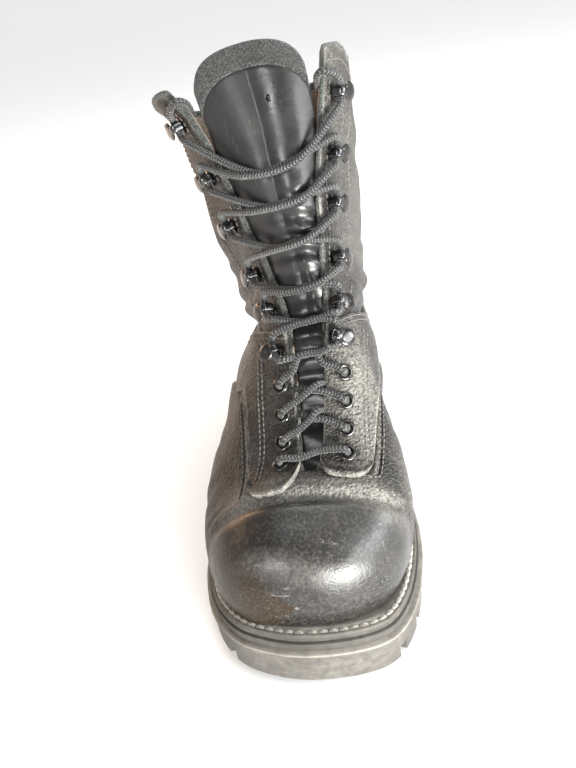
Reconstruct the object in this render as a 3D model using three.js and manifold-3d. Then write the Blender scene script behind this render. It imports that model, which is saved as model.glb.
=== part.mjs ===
// A black leather combat boot for the right foot, standing empty on its lugged rubber sole.
// Millimetres, +Z up. The toe points along -Y and the inner side of the foot is +X.
// The whole upper comes from one function, footForm(u, angle, lift): sections that fan from the toe,
// over the instep and round the heel, up to the collar. Everything on the leather sits on that form.
import * as THREE from "three";
import { mergeVertices } from "three/addons/utils/BufferGeometryUtils.js";
import Module from "manifold-3d";

const wasm = await Module();
wasm.setup();

// Driving sizes
const soleLength = 305;
const ballWidth = 118;
const collarHeight = 238;
const upperWall = 2.2;
const overlayThickness = 1.6;
const tongueThickness = 4.5;
const tongueHalfWidth = 27.5;
const tongueRise = 12;
const weltThickness = 3.4;
const weltInset = 3;
const midsoleThickness = 4.8;
const midsoleInset = 2;
const outsoleRimHeight = 2.4;
const outsoleRimStep = 0.9;
const insoleThickness = 4;
const lugDepth = 5;
const notchWidth = 3.6;
const notchLength = 15;
const eyeletHoleRadius = 2.3;
const eyeletBarrelWall = 0.5;
const eyeletFlangeRadius = 4.1;
const eyeletFlangeThickness = 0.9;
const hookPlateRadius = 4;
const hookPlateThickness = 0.8;
const hookDiscRadius = 4.3;
const hookDiscThickness = 1.1;
const hookClearHeight = 4.9;
const hookNeckWidth = 3.8;
const hookNeckThickness = 1.3;
const hookNeckReach = 5.2; // from the rivet to the bend at the opening's edge
const laceDiameter = 3.6;
const gap = 0.3;
const facetAllowance = 0.45; // how far the facets of a curved wall lie inside its true form

// Resolution of the faceted solids
const formRings = 26;
const formSpokes = 26;
const outlineSteps = 2;
const laceSides = 6;

// Sections of the upper from the toe tip to the collar. y is a share of the sole's length from its
// middle, z a share of the collar's height, and x and half widths a share of half the ball's width.
// "back" is the point under the foot or behind the leg, "front" the one on the vamp or shin.
const sectionColumns = ["backY", "backZ", "frontY", "frontZ", "outerHalf", "innerHalf", "backX", "frontX",
  "widestAt", "frontPower", "backPower", "backRoll", "frontRoll"];
const sectionTable = [
  [-0.474, 0.185, -0.474, 0.185, 0, 0, 0, 0, 0.5, 2.2, 2.6, 0, 0],
  [-0.472, 0.143, -0.466, 0.235, 0.237, 0.271, 0, 0, 0.5, 2.2, 2.8, 0, 0],
  [-0.462, 0.103, -0.444, 0.279, 0.441, 0.475, 0, 0.017, 0.48, 2.3, 2.7, 0, 0],
  [-0.436, 0.076, -0.398, 0.307, 0.636, 0.669, 0, 0.051, 0.46, 2.3, 2.7, 0, 0.02],
  [-0.387, 0.055, -0.339, 0.324, 0.797, 0.797, -0.008, 0.093, 0.45, 2.3, 2.6, 0, 0.05],
  [-0.318, 0.042, -0.284, 0.342, 0.898, 0.847, -0.025, 0.136, 0.43, 2.2, 2.6, 0, 0.09],
  [-0.233, 0.04, -0.233, 0.408, 0.932, 0.805, -0.051, 0.169, 0.4, 2.0, 2.6, 0, 0.14],
  [-0.141, 0.046, -0.2, 0.464, 0.915, 0.729, -0.068, 0.195, 0.37, 1.9, 2.6, 0, 0.17],
  [-0.043, 0.059, -0.179, 0.515, 0.856, 0.661, -0.059, 0.212, 0.36, 1.8, 2.6, 0, 0.17],
  [0.072, 0.08, -0.159, 0.565, 0.78, 0.619, -0.042, 0.22, 0.36, 1.8, 2.6, 0, 0.16],
  [0.197, 0.095, -0.144, 0.609, 0.72, 0.576, -0.025, 0.203, 0.36, 1.85, 2.6, 0, 0.14],
  [0.328, 0.105, -0.131, 0.651, 0.678, 0.551, -0.017, 0.169, 0.37, 1.95, 2.6, 0, 0.13],
  [0.433, 0.122, -0.121, 0.687, 0.695, 0.542, -0.017, 0.153, 0.4, 2.05, 2.6, 0, 0.13],
  [0.482, 0.197, -0.111, 0.718, 0.703, 0.551, -0.025, 0.136, 0.43, 2.15, 2.6, 0, 0.13],
  [0.49, 0.294, -0.102, 0.761, 0.72, 0.559, -0.042, 0.11, 0.46, 2.25, 2.5, 0.03, 0.13],
  [0.475, 0.408, -0.092, 0.805, 0.737, 0.585, -0.059, 0.085, 0.5, 2.35, 2.3, 0.07, 0.13],
  [0.446, 0.525, -0.082, 0.851, 0.763, 0.627, -0.085, 0.059, 0.52, 2.4, 2.2, 0.1, 0.13],
  [0.413, 0.643, -0.07, 0.897, 0.797, 0.669, -0.119, 0.034, 0.54, 2.45, 2.2, 0.13, 0.13],
  [0.377, 0.773, -0.061, 0.943, 0.822, 0.695, -0.153, 0, 0.55, 2.5, 2.2, 0.13, 0.13],
  [0.341, 0.908, -0.048, 1.0, 0.864, 0.737, -0.186, -0.042, 0.55, 2.6, 2.2, 0.13, 0.13],
];
const collarU = sectionTable.length - 1;
const collarDip = 0.42; // how far the collar drops behind its front corners, in sections
const collarDipFrom = 0.1; // cosine of the angle where the drop is complete
const collarDipTo = 0.6; // cosine of the angle where it starts

// Outline of the outsole, toe to heel: y as a share of the length, x as a share of half the ball's width.
const outlineColumns = ["y", "outer", "inner"];
const outlineTable = [
  [-0.5, 0.051, 0.051],
  [-0.49, -0.271, 0.441],
  [-0.464, -0.542, 0.695],
  [-0.41, -0.763, 0.847],
  [-0.338, -0.89, 0.932],
  [-0.259, -0.941, 0.958],
  [-0.18, -0.932, 0.915],
  [-0.098, -0.856, 0.831],
  [0, -0.756, 0.754],
  [0.115, -0.676, 0.7],
  [0.23, -0.648, 0.681],
  [0.328, -0.651, 0.672],
  [0.41, -0.593, 0.619],
  [0.466, -0.424, 0.449],
  [0.492, -0.203, 0.22],
  [0.5, 0.008, 0.008],
];

// Heights along the sole: y as a share of the length, z as a share of the collar's height.
const sideColumns = ["y", "feather", "ground"];
const sideTable = [
  [-0.5, 0.132, 0.021],
  [-0.459, 0.122, 0.013],
  [-0.41, 0.111, 0.004],
  [-0.361, 0.105, 0],
  [-0.279, 0.101, 0],
  [-0.164, 0.105, 0],
  [-0.066, 0.118, 0],
  [0.066, 0.139, 0.04],
  [0.197, 0.155, 0.05],
  [0.328, 0.164, 0.05],
  [0.5, 0.168, 0.05],
];
const forefootBackShare = -0.115;
const archFrontShare = -0.07;
const heelBreastShare = 0.2;
const heelBreastLean = 4;
const heelBevelShare = 0.47;
const heelBevelRise = 3;

// The laced opening: u along the form, and how far each edge of the leather lies from the centre line.
const throatColumns = ["u", "outer", "inner"];
const throatTable = [
  [4.5, 2.2, 2.8],
  [4.75, 4.0, 4.4],
  [5.2, 5.4, 5.0],
  [5.8, 6.8, 4.8],
  [6.5, 8.6, 4.6],
  [7.5, 10.6, 4.8],
  [8.5, 12.2, 5.2],
  [9.5, 13.8, 7.2],
  [11.0, 16.6, 9.8],
  [12.4, 19.8, 11.4],
  [13.8, 24.0, 13.4],
  [15.0, 26.2, 16.4],
  [16.0, 28.8, 19.6],
  [17.3, 32.6, 24.2],
  [18.1, 35.8, 27.6],
  [19.1, 41.0, 32.4],
  [20.5, 46.0, 36.5],
];

// Lacing places from the bottom up: u along the form and the distance from its centre line, each side.
const fittingColumns = ["outerU", "outerX", "innerU", "innerX"];
const eyeletTable = [
  [4.72, 13.2, 4.9, 16.8],
  [5.33, 13.6, 5.48, 15.8],
  [5.95, 14.4, 6.08, 15.0],
  [6.85, 15.6, 6.9, 13.8],
];
const hookTable = [
  [8.1, 17.2, 8.1, 10.9],
  [9.9, 19.8, 9.4, 12.4],
  [11.7, 23.4, 11.5, 15.8],
  [14.2, 30.0, 14.0, 19.2],
  [16.1, 34.6, 15.8, 24.4],
  [18.1, 41.2, 17.8, 31.8],
];
// Where the strands above each row of fittings, from the second on, meet over the tongue: u and distance.
const crossingColumns = ["u", "x"];
const crossingTable = [
  [5.7, 0.2],
  [6.4, -0.6],
  [7.6, -1.2],
  [8.75, -2.2],
  [10.1, -2.4],
  [12.3, -4.6],
  [14.45, -4.0],
  [16.05, -4.0],
];

// The quarter on each side: a flap beside the opening, and behind it the leather round the ankle.
const flapColumns = ["front", "corner", "frontX", "backX"];
const flapTable = { outer: [3.78, 0.75, 26.5, 34.0], inner: [4.2, 0.6, 28.0, 31.0] };
const wingColumns = ["degrees", "low", "high"]; // its lower and upper edge behind the flap
const wingTable = [
  [12, 7.8, 8.6],
  [28, 7.8, 9.15],
  [45, 7.8, 9.75],
  [60, 8.35, 10.3],
  [75, 8.85, 10.85],
  [90, 9.3, 11.6],
  [110, 9.65, 12.7],
  [130, 9.8, 13.8],
  [155, 9.85, 14.7],
  [180, 9.85, 15.0],
];

const leather = new THREE.MeshStandardMaterial({ color: 0x23221f, roughness: 0.5, metalness: 0 });
const smoothLeather = new THREE.MeshStandardMaterial({ color: 0x1b1a19, roughness: 0.3, metalness: 0 });
const rubber = new THREE.MeshStandardMaterial({ color: 0x383530, roughness: 0.8, metalness: 0 });
const weltRubber = new THREE.MeshStandardMaterial({ color: 0x3f3b34, roughness: 0.75, metalness: 0 });
const lining = new THREE.MeshStandardMaterial({ color: 0x9a8064, roughness: 0.9, metalness: 0 });
const blackMetal = new THREE.MeshStandardMaterial({ color: 0x17171a, roughness: 0.25, metalness: 0.8 });
const laceCord = new THREE.MeshStandardMaterial({ color: 0x2c2d2f, roughness: 0.7, metalness: 0 });

const boot = new THREE.Group();

// Tables and curves

function rowsOf(table, columns) {
  return table.map((row) => Object.fromEntries(columns.map((name, i) => [name, row[i]])));
}

function catmullRom(a, b, c, d, t) {
  const slope = (c - a) * t;
  const bend = (2 * a - 5 * b + 4 * c - d) * t * t;
  const twist = (3 * b - a - 3 * c + d) * t * t * t;
  return 0.5 * (2 * b + slope + bend + twist);
}

// Value of a column at u, through every row; before and after stand for the rows past the two ends.
function smoothAt(rows, column, u, before, after) {
  const i = Math.min(Math.max(Math.floor(u), 0), rows.length - 2);
  const value = (k) => {
    if (k < 0) return before;
    if (k >= rows.length) return after;
    return rows[k][column];
  };
  return catmullRom(value(i - 1), value(i), value(i + 1), value(i + 2), u - i);
}

// Straight interpolation of one column by another.
function along(rows, keyColumn, column, key) {
  let i = 0;
  while (i < rows.length - 2 && rows[i + 1][keyColumn] < key) i += 1;
  const a = rows[i];
  const b = rows[i + 1];
  const t = Math.min(Math.max((key - a[keyColumn]) / (b[keyColumn] - a[keyColumn]), 0), 1);
  return a[column] + (b[column] - a[column]) * t;
}

function smoothstep(from, to, x) {
  const t = Math.min(Math.max((x - from) / (to - from), 0), 1);
  return t * t * (3 - 2 * t);
}

const sections = rowsOf(sectionTable, sectionColumns).map((row) => ({
  ...row,
  backY: row.backY * soleLength,
  frontY: row.frontY * soleLength,
  backZ: row.backZ * collarHeight,
  frontZ: row.frontZ * collarHeight,
  outerHalf: (row.outerHalf * ballWidth) / 2,
  innerHalf: (row.innerHalf * ballWidth) / 2,
  backX: (row.backX * ballWidth) / 2,
  frontX: (row.frontX * ballWidth) / 2,
}));
const throat = rowsOf(throatTable, throatColumns);
const sideHeights = rowsOf(sideTable, sideColumns).map((row) => ({
  y: row.y * soleLength,
  feather: row.feather * collarHeight,
  ground: row.ground * collarHeight,
}));
const outlineRows = rowsOf(outlineTable, outlineColumns).map((row) => ({
  y: row.y * soleLength,
  outer: (row.outer * ballWidth) / 2,
  inner: (row.inner * ballWidth) / 2,
}));

// The form

// Before the toe tip the sections go on as their own mirror, so that the toe closes smoothly.
function sectionAt(u) {
  const first = sections[1];
  const last = sections[collarU];
  const beforeLast = sections[collarU - 1];
  const mirrored = { ...first, backY: first.frontY, backZ: first.frontZ, frontY: first.backY,
    frontZ: first.backZ, outerHalf: -first.outerHalf, innerHalf: -first.innerHalf };
  const here = {};
  for (const column of sectionColumns) {
    here[column] = smoothAt(sections, column, u, mirrored[column], 2 * last[column] - beforeLast[column]);
  }
  return here;
}

function rawPoint(u, angle) {
  const s = sectionAt(u);
  const cosine = Math.cos(angle);
  const sine = Math.sin(angle);
  const power = cosine >= 0 ? s.frontPower : s.backPower;
  const reach = Math.sign(cosine) * Math.abs(cosine) ** (2 / power);
  const share = s.widestAt + reach * (cosine >= 0 ? 1 - s.widestAt : s.widestAt);
  const half = sine >= 0 ? s.innerHalf : s.outerHalf;
  const across = Math.sign(sine) * Math.abs(sine) ** (2 / power) * half;
  const roll = s.backRoll + (s.frontRoll - s.backRoll) * share;
  return new THREE.Vector3(
    s.backX + (s.frontX - s.backX) * share + across,
    s.backY + (s.frontY - s.backY) * share,
    s.backZ + (s.frontZ - s.backZ) * share + across * roll,
  );
}

function outwardNormal(u, angle) {
  const step = 0.03;
  const nearU = Math.max(u, 0.15);
  const alongU = rawPoint(nearU + step, angle).sub(rawPoint(nearU - step, angle));
  const around = rawPoint(nearU, angle + step).sub(rawPoint(nearU, angle - step));
  return around.cross(alongU).normalize();
}

// A point lift millimetres outside the upper's outer face. Angle 0 is the front, and it grows to the
// inner side of the foot.
function footForm(u, angle, lift) {
  if (u < 0.01) {
    return rawPoint(0, 0).add(new THREE.Vector3(0, -lift, 0));
  }
  return rawPoint(u, angle).addScaledVector(outwardNormal(u, angle), lift);
}

// The angle at which the form is this far to the side of its centre line.
function angleAcross(u, distance) {
  const s = sectionAt(u);
  const half = distance >= 0 ? s.innerHalf : s.outerHalf;
  const share = Math.min(Math.abs(distance) / half, 0.98);
  return Math.sign(distance) * Math.asin(share ** (s.frontPower / 2));
}

function throatEdge(u, side) {
  return side * along(throat, "u", side < 0 ? "outer" : "inner", u);
}

function collarAt(angle) {
  return collarU - collarDip * (1 - smoothstep(collarDipFrom, collarDipTo, Math.cos(angle)));
}

// Solids

function solidOf(points, triangles) {
  const geometry = new THREE.BufferGeometry();
  const coordinates = points.flatMap((p) => [p.x, p.y, p.z]);
  geometry.setAttribute("position", new THREE.Float32BufferAttribute(coordinates, 3));
  geometry.setIndex(triangles);
  return manifoldOf(geometry);
}

function manifoldOf(source) {
  const geometry = source.clone();
  geometry.deleteAttribute("normal");
  geometry.deleteAttribute("uv");
  const merged = mergeVertices(geometry, 1e-4);
  return new wasm.Manifold(
    new wasm.Mesh({
      numProp: 3,
      vertProperties: new Float32Array(merged.attributes.position.array),
      triVerts: new Uint32Array(merged.index.array),
    }),
  );
}

function geometryOf(solid) {
  const mesh = solid.getMesh();
  const geometry = new THREE.BufferGeometry();
  geometry.setAttribute("position", new THREE.BufferAttribute(new Float32Array(mesh.vertProperties), 3));
  geometry.setIndex(new THREE.BufferAttribute(new Uint32Array(mesh.triVerts), 1));
  geometry.computeVertexNormals();
  return geometry;
}

function addPiece(name, solid, material) {
  const mesh = new THREE.Mesh(geometryOf(solid), material);
  mesh.name = name;
  boot.add(mesh);
}

// The closed form out to a lift, from the toe to past the collar by extra sections.
function formSolid(lift, extra) {
  const points = [footForm(0, 0, lift)];
  const triangles = [];
  for (let ring = 1; ring <= formRings; ring += 1) {
    const t = ring / formRings;
    const eased = 0.35 * t * t + 0.65 * t;
    for (let spoke = 0; spoke < formSpokes; spoke += 1) {
      const angle = (2 * Math.PI * spoke) / formSpokes;
      points.push(footForm(eased * (collarAt(angle) + extra), angle, lift));
    }
  }
  const at = (ring, spoke) => 1 + (ring - 1) * formSpokes + (spoke % formSpokes);
  for (let spoke = 0; spoke < formSpokes; spoke += 1) {
    triangles.push(0, at(1, spoke), at(1, spoke + 1));
    for (let ring = 1; ring < formRings; ring += 1) {
      const a = at(ring, spoke);
      const b = at(ring, spoke + 1);
      const c = at(ring + 1, spoke + 1);
      const d = at(ring + 1, spoke);
      triangles.push(a, d, c, a, c, b);
    }
  }
  const centre = new THREE.Vector3();
  for (let spoke = 0; spoke < formSpokes; spoke += 1) {
    centre.addScaledVector(points[at(formRings, spoke)], 1 / formSpokes);
  }
  points.push(centre);
  for (let spoke = 0; spoke < formSpokes; spoke += 1) {
    triangles.push(points.length - 1, at(formRings, spoke + 1), at(formRings, spoke));
  }
  return outward(points, triangles);
}

// Turns the faces round if they point inwards.
function outward(points, triangles) {
  const solid = solidOf(points, triangles);
  if (solid.volume() >= 0) return solid;
  const turned = [];
  for (let i = 0; i < triangles.length; i += 3) {
    turned.push(triangles[i], triangles[i + 2], triangles[i + 1]);
  }
  return solidOf(points, turned);
}

// A slab that follows the form between two lifts. place(a, b) gives u and the angle, a and b from 0 to 1.
function formSlab(place, stepsA, stepsB, lowLift, highLift) {
  const points = [];
  for (const lift of [lowLift, highLift]) {
    for (let i = 0; i <= stepsA; i += 1) {
      for (let j = 0; j <= stepsB; j += 1) {
        const [u, angle] = place(i / stepsA, j / stepsB);
        points.push(footForm(u, angle, lift));
      }
    }
  }
  const layer = (stepsA + 1) * (stepsB + 1);
  const at = (side, i, j) => side * layer + i * (stepsB + 1) + j;
  const triangles = [];
  const quad = (a, b, c, d) => triangles.push(a, b, c, a, c, d);
  for (let i = 0; i < stepsA; i += 1) {
    for (let j = 0; j < stepsB; j += 1) {
      quad(at(0, i, j), at(0, i + 1, j), at(0, i + 1, j + 1), at(0, i, j + 1));
      quad(at(1, i, j), at(1, i, j + 1), at(1, i + 1, j + 1), at(1, i + 1, j));
    }
  }
  for (let i = 0; i < stepsA; i += 1) {
    quad(at(0, i, 0), at(1, i, 0), at(1, i + 1, 0), at(0, i + 1, 0));
    quad(at(0, i + 1, stepsB), at(1, i + 1, stepsB), at(1, i, stepsB), at(0, i, stepsB));
  }
  for (let j = 0; j < stepsB; j += 1) {
    quad(at(0, 0, j + 1), at(1, 0, j + 1), at(1, 0, j), at(0, 0, j));
    quad(at(0, stepsA, j), at(1, stepsA, j), at(1, stepsA, j + 1), at(0, stepsA, j + 1));
  }
  return outward(points, triangles);
}

// The same on a grid in which only some cells are present. place(i, j) gives u and the angle.
function maskedSlab(place, has, stepsI, stepsJ, lowLift, highLift) {
  const points = [];
  const numbers = new Map();
  const vertex = (side, i, j) => {
    const key = side + " " + i + " " + j;
    if (!numbers.has(key)) {
      const [u, angle] = place(i, j);
      numbers.set(key, points.length);
      points.push(footForm(u, angle, side ? highLift : lowLift));
    }
    return numbers.get(key);
  };
  const triangles = [];
  const quad = (a, b, c, d) => triangles.push(a, b, c, a, c, d);
  const present = (i, j) => i >= 0 && j >= 0 && i < stepsI && j < stepsJ && has(i, j);
  const wall = (i, j, k, l) => quad(vertex(0, i, j), vertex(1, i, j), vertex(1, k, l), vertex(0, k, l));
  for (let i = 0; i < stepsI; i += 1) {
    for (let j = 0; j < stepsJ; j += 1) {
      if (!present(i, j)) continue;
      quad(vertex(0, i, j), vertex(0, i + 1, j), vertex(0, i + 1, j + 1), vertex(0, i, j + 1));
      quad(vertex(1, i, j), vertex(1, i, j + 1), vertex(1, i + 1, j + 1), vertex(1, i + 1, j));
      if (!present(i, j - 1)) wall(i, j, i + 1, j);
      if (!present(i, j + 1)) wall(i + 1, j + 1, i, j + 1);
      if (!present(i - 1, j)) wall(i, j + 1, i, j);
      if (!present(i + 1, j)) wall(i + 1, j, i + 1, j + 1);
    }
  }
  return outward(points, triangles);
}

// Sole layers

// The outsole's outline, moved in by inset, as points in the ground plane.
function soleOutline(inset) {
  const last = outlineRows.length - 1;
  const ends = (rows, column, other) => [rows[1][other], rows[last - 1][other]];
  const sideOf = (column, other) => {
    const side = [];
    const [before, after] = ends(outlineRows, column, other);
    for (let k = 0; k < last * outlineSteps; k += 1) {
      const u = k / outlineSteps;
      const y = smoothAt(outlineRows, "y", u, outlineRows[1].y, outlineRows[last - 1].y);
      side.push(new THREE.Vector2(smoothAt(outlineRows, column, u, before, after), y));
    }
    return side;
  };
  const innerSide = sideOf("inner", "outer");
  const tip = new THREE.Vector2(outlineRows[last].inner, outlineRows[last].y);
  const outerSide = sideOf("outer", "inner").slice(1).reverse();
  const loop = [...innerSide, tip, ...outerSide];
  return loop.map((point, i) => {
    const before = loop[(i + loop.length - 1) % loop.length];
    const after = loop[(i + 1) % loop.length];
    const run = after.clone().sub(before).normalize();
    return new THREE.Vector2(point.x - run.y * inset, point.y + run.x * inset);
  });
}

function outlinePrism(inset, low, high) {
  const shape = new THREE.Shape(soleOutline(inset));
  const geometry = new THREE.ExtrudeGeometry(shape, { depth: high - low, bevelEnabled: false });
  geometry.translate(0, 0, low);
  return manifoldOf(geometry);
}

function featherHeight(y) {
  return along(sideHeights, "y", "feather", y);
}

// A profile in the plane of y and z, drawn out across the boot.
function crosswise(profile) {
  const width = 2 * ballWidth;
  const geometry = new THREE.ExtrudeGeometry(new THREE.Shape(profile), { depth: width, bevelEnabled: false });
  const turn = new THREE.Matrix4().makeBasis(
    new THREE.Vector3(0, 1, 0),
    new THREE.Vector3(0, 0, 1),
    new THREE.Vector3(1, 0, 0),
  );
  geometry.applyMatrix4(turn);
  geometry.translate(-width / 2, 0, 0);
  return manifoldOf(geometry);
}

function stations(count) {
  const list = [];
  for (let i = 0; i <= count; i += 1) {
    list.push(soleLength * (-0.52 + (1.04 * i) / count));
  }
  return list;
}

// Everything between two heights that follow the feather line, below is how far under it.
function featherSlab(lowBelow, highBelow) {
  const list = stations(18);
  const low = list.map((y) => new THREE.Vector2(y, featherHeight(y) - lowBelow));
  const high = list.map((y) => new THREE.Vector2(y, featherHeight(y) - highBelow));
  return crosswise([...low, ...high.reverse()]);
}

const midsoleTopBelow = weltThickness + gap;
const outsoleTopBelow = midsoleTopBelow + midsoleThickness + gap;
const farBelow = 60;
const innerExtra = 0.6;

function weltPiece() {
  const ring = outlinePrism(weltInset, -10, collarHeight / 2).intersect(featherSlab(weltThickness, 0));
  return ring.subtract(formSolid(gap, 0));
}

function midsolePiece() {
  return outlinePrism(midsoleInset, -10, collarHeight / 2).intersect(
    featherSlab(midsoleTopBelow + midsoleThickness, midsoleTopBelow),
  );
}

function groundHeight(y) {
  return along(sideHeights, "y", "ground", y);
}

// Side profile of the outsole: toe spring, flat forefoot, raised arch, heel breast and heel.
function outsoleProfile() {
  const half = soleLength / 2;
  const heelFront = heelBreastShare * soleLength;
  const archHeight = groundHeight(heelFront);
  const low = stations(24)
    .filter((y) => y > -half - 4 && y < forefootBackShare * soleLength)
    .map((y) => new THREE.Vector2(y, groundHeight(y)));
  low.push(new THREE.Vector2(forefootBackShare * soleLength, 0));
  low.push(new THREE.Vector2(archFrontShare * soleLength, archHeight * 0.8));
  low.push(new THREE.Vector2(heelFront - heelBreastLean, archHeight));
  low.push(new THREE.Vector2(heelFront, 0));
  low.push(new THREE.Vector2(heelBevelShare * soleLength, 0));
  low.push(new THREE.Vector2(half + 4, heelBevelRise));
  const high = stations(18).map((y) => new THREE.Vector2(y, featherHeight(y) - outsoleTopBelow));
  return [...low, ...high.reverse()];
}

// One straight notch in the tread, from its middle, its turn about Z, and its size.
function notch(x, y, turn, length, width) {
  const bottom = groundHeight(Math.min(y, 0));
  const box = new THREE.BoxGeometry(length, width, lugDepth + 20);
  box.rotateZ(turn);
  box.translate(x, y, bottom + lugDepth - (lugDepth + 20) / 2);
  return manifoldOf(box);
}

// Half widths of the sole's outline at y.
function outlineAt(y) {
  const sides = soleOutline(0);
  const cross = (sign) => {
    let best = 0;
    for (const [i, p] of sides.entries()) {
      const q = sides[(i + 1) % sides.length];
      if ((p.y - y) * (q.y - y) > 0 || p.y === q.y) continue;
      const x = p.x + ((q.x - p.x) * (y - p.y)) / (q.y - p.y);
      if (x * sign > best) best = x * sign;
    }
    return best * sign;
  };
  return { outer: cross(-1), inner: cross(1) };
}

function treadNotches() {
  const cuts = [];
  const forefootRows = [-0.445, -0.385, -0.325, -0.265, -0.205, -0.15];
  const heelRows = [0.255, 0.32, 0.385, 0.44];
  const slant = 0.22;
  for (const share of [...forefootRows, ...heelRows]) {
    const y = share * soleLength;
    const { outer, inner } = outlineAt(y);
    cuts.push(notch(outer + notchLength / 2 - 2, y, slant, notchLength + 4, notchWidth));
    cuts.push(notch(inner - notchLength / 2 + 2, y, -slant, notchLength + 4, notchWidth));
  }
  const centreRows = [-0.415, -0.355, -0.295, -0.235, -0.178, 0.288, 0.352, 0.412];
  for (const share of centreRows) {
    const y = share * soleLength;
    const { outer, inner } = outlineAt(y);
    const middle = (outer + inner) / 2;
    const reach = (inner - outer) / 2 - notchLength - 4;
    cuts.push(notch(middle - reach / 2, y, slant, reach, notchWidth));
    cuts.push(notch(middle + reach / 2, y, -slant, reach, notchWidth));
  }
  return wasm.Manifold.union(cuts);
}

// A groove that runs round inside the edge lugs of the forefoot and heel.
function treadChannel() {
  const inset = notchLength + 1;
  const ring = outlinePrism(inset, -20, 40).subtract(outlinePrism(inset + notchWidth, -21, 41));
  const half = soleLength / 2;
  const depth = stations(24).map((y) => new THREE.Vector2(y, groundHeight(Math.min(y, 0)) + lugDepth));
  const under = crosswise([new THREE.Vector2(-half - 20, -30), new THREE.Vector2(half + 20, -30),
    ...depth.reverse()]);
  return ring.intersect(under);
}

function outsolePiece() {
  const side = crosswise(outsoleProfile());
  const wall = outlinePrism(outsoleRimStep, -10, collarHeight / 2).intersect(side);
  const rimBand = featherSlab(outsoleTopBelow + outsoleRimHeight, outsoleTopBelow);
  const rim = outlinePrism(0, -10, collarHeight / 2).intersect(rimBand);
  return wall.add(rim.intersect(side)).subtract(treadNotches()).subtract(treadChannel());
}

function insolePiece() {
  const top = midsoleTopBelow - gap - insoleThickness;
  return formSolid(-upperWall - gap - 0.1, innerExtra).intersect(featherSlab(midsoleTopBelow - gap, top));
}

// The upper and what is sewn on it

function throatCutter() {
  const from = throat[0].u;
  const to = throat[throat.length - 1].u;
  const place = (a, b) => {
    const u = from + (to - from) * a ** 1.2;
    const outer = angleAcross(u, throatEdge(u, -1));
    const inner = angleAcross(u, throatEdge(u, 1));
    return [u, outer + (inner - outer) * b];
  };
  return formSlab(place, 20, 4, -upperWall - 9, 9);
}

// Where a fitting stands: its place on the form, and a frame with Z outward and X away from the opening.
function seatOf(u, distance) {
  const angle = angleAcross(u, distance);
  const place = footForm(u, angle, 0);
  const up = outwardNormal(u, angle);
  const out = footForm(u, angleAcross(u, distance * 1.08), 0).sub(place);
  out.addScaledVector(up, -out.dot(up)).normalize();
  const side = up.clone().cross(out);
  return new THREE.Matrix4().makeBasis(out, side, up).setPosition(place);
}

const quarterLow = gap + facetAllowance + 0.15;
const quarterHigh = quarterLow + overlayThickness;

// The rows of a table of fittings as places on one side, -1 outer and 1 inner.
function placesOf(table, side) {
  return rowsOf(table, fittingColumns).map((row) => ({
    u: side < 0 ? row.outerU : row.innerU,
    x: side * (side < 0 ? row.outerX : row.innerX),
  }));
}

function eyeletHoles(side) {
  const radius = eyeletHoleRadius + eyeletBarrelWall + gap;
  const holes = placesOf(eyeletTable, side).map(({ u, x }) => {
    const cylinder = new THREE.CylinderGeometry(radius, radius, 24, 8);
    cylinder.rotateX(Math.PI / 2);
    return manifoldOf(cylinder.applyMatrix4(seatOf(u, x)));
  });
  return wasm.Manifold.union(holes);
}

function eyeletPiece({ u, x }) {
  const inner = eyeletHoleRadius;
  const barrel = inner + eyeletBarrelWall;
  const foot = -upperWall;
  const under = quarterHigh + gap + 0.4;
  const profile = [
    [inner, foot],
    [barrel, foot],
    [barrel, under],
    [eyeletFlangeRadius, under],
    [inner + 0.5, under + eyeletFlangeThickness],
    [inner, foot],
  ].map(([radius, height]) => new THREE.Vector2(radius, height));
  const ring = new THREE.LatheGeometry(profile, 10);
  ring.rotateX(Math.PI / 2);
  return manifoldOf(ring.applyMatrix4(seatOf(u, x)));
}

function upperPiece(feet) {
  const shell = formSolid(0, 0).subtract(formSolid(-upperWall, innerExtra));
  return shell.subtract(feet).subtract(throatCutter()).subtract(eyeletHoles(-1)).subtract(eyeletHoles(1));
}

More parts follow.
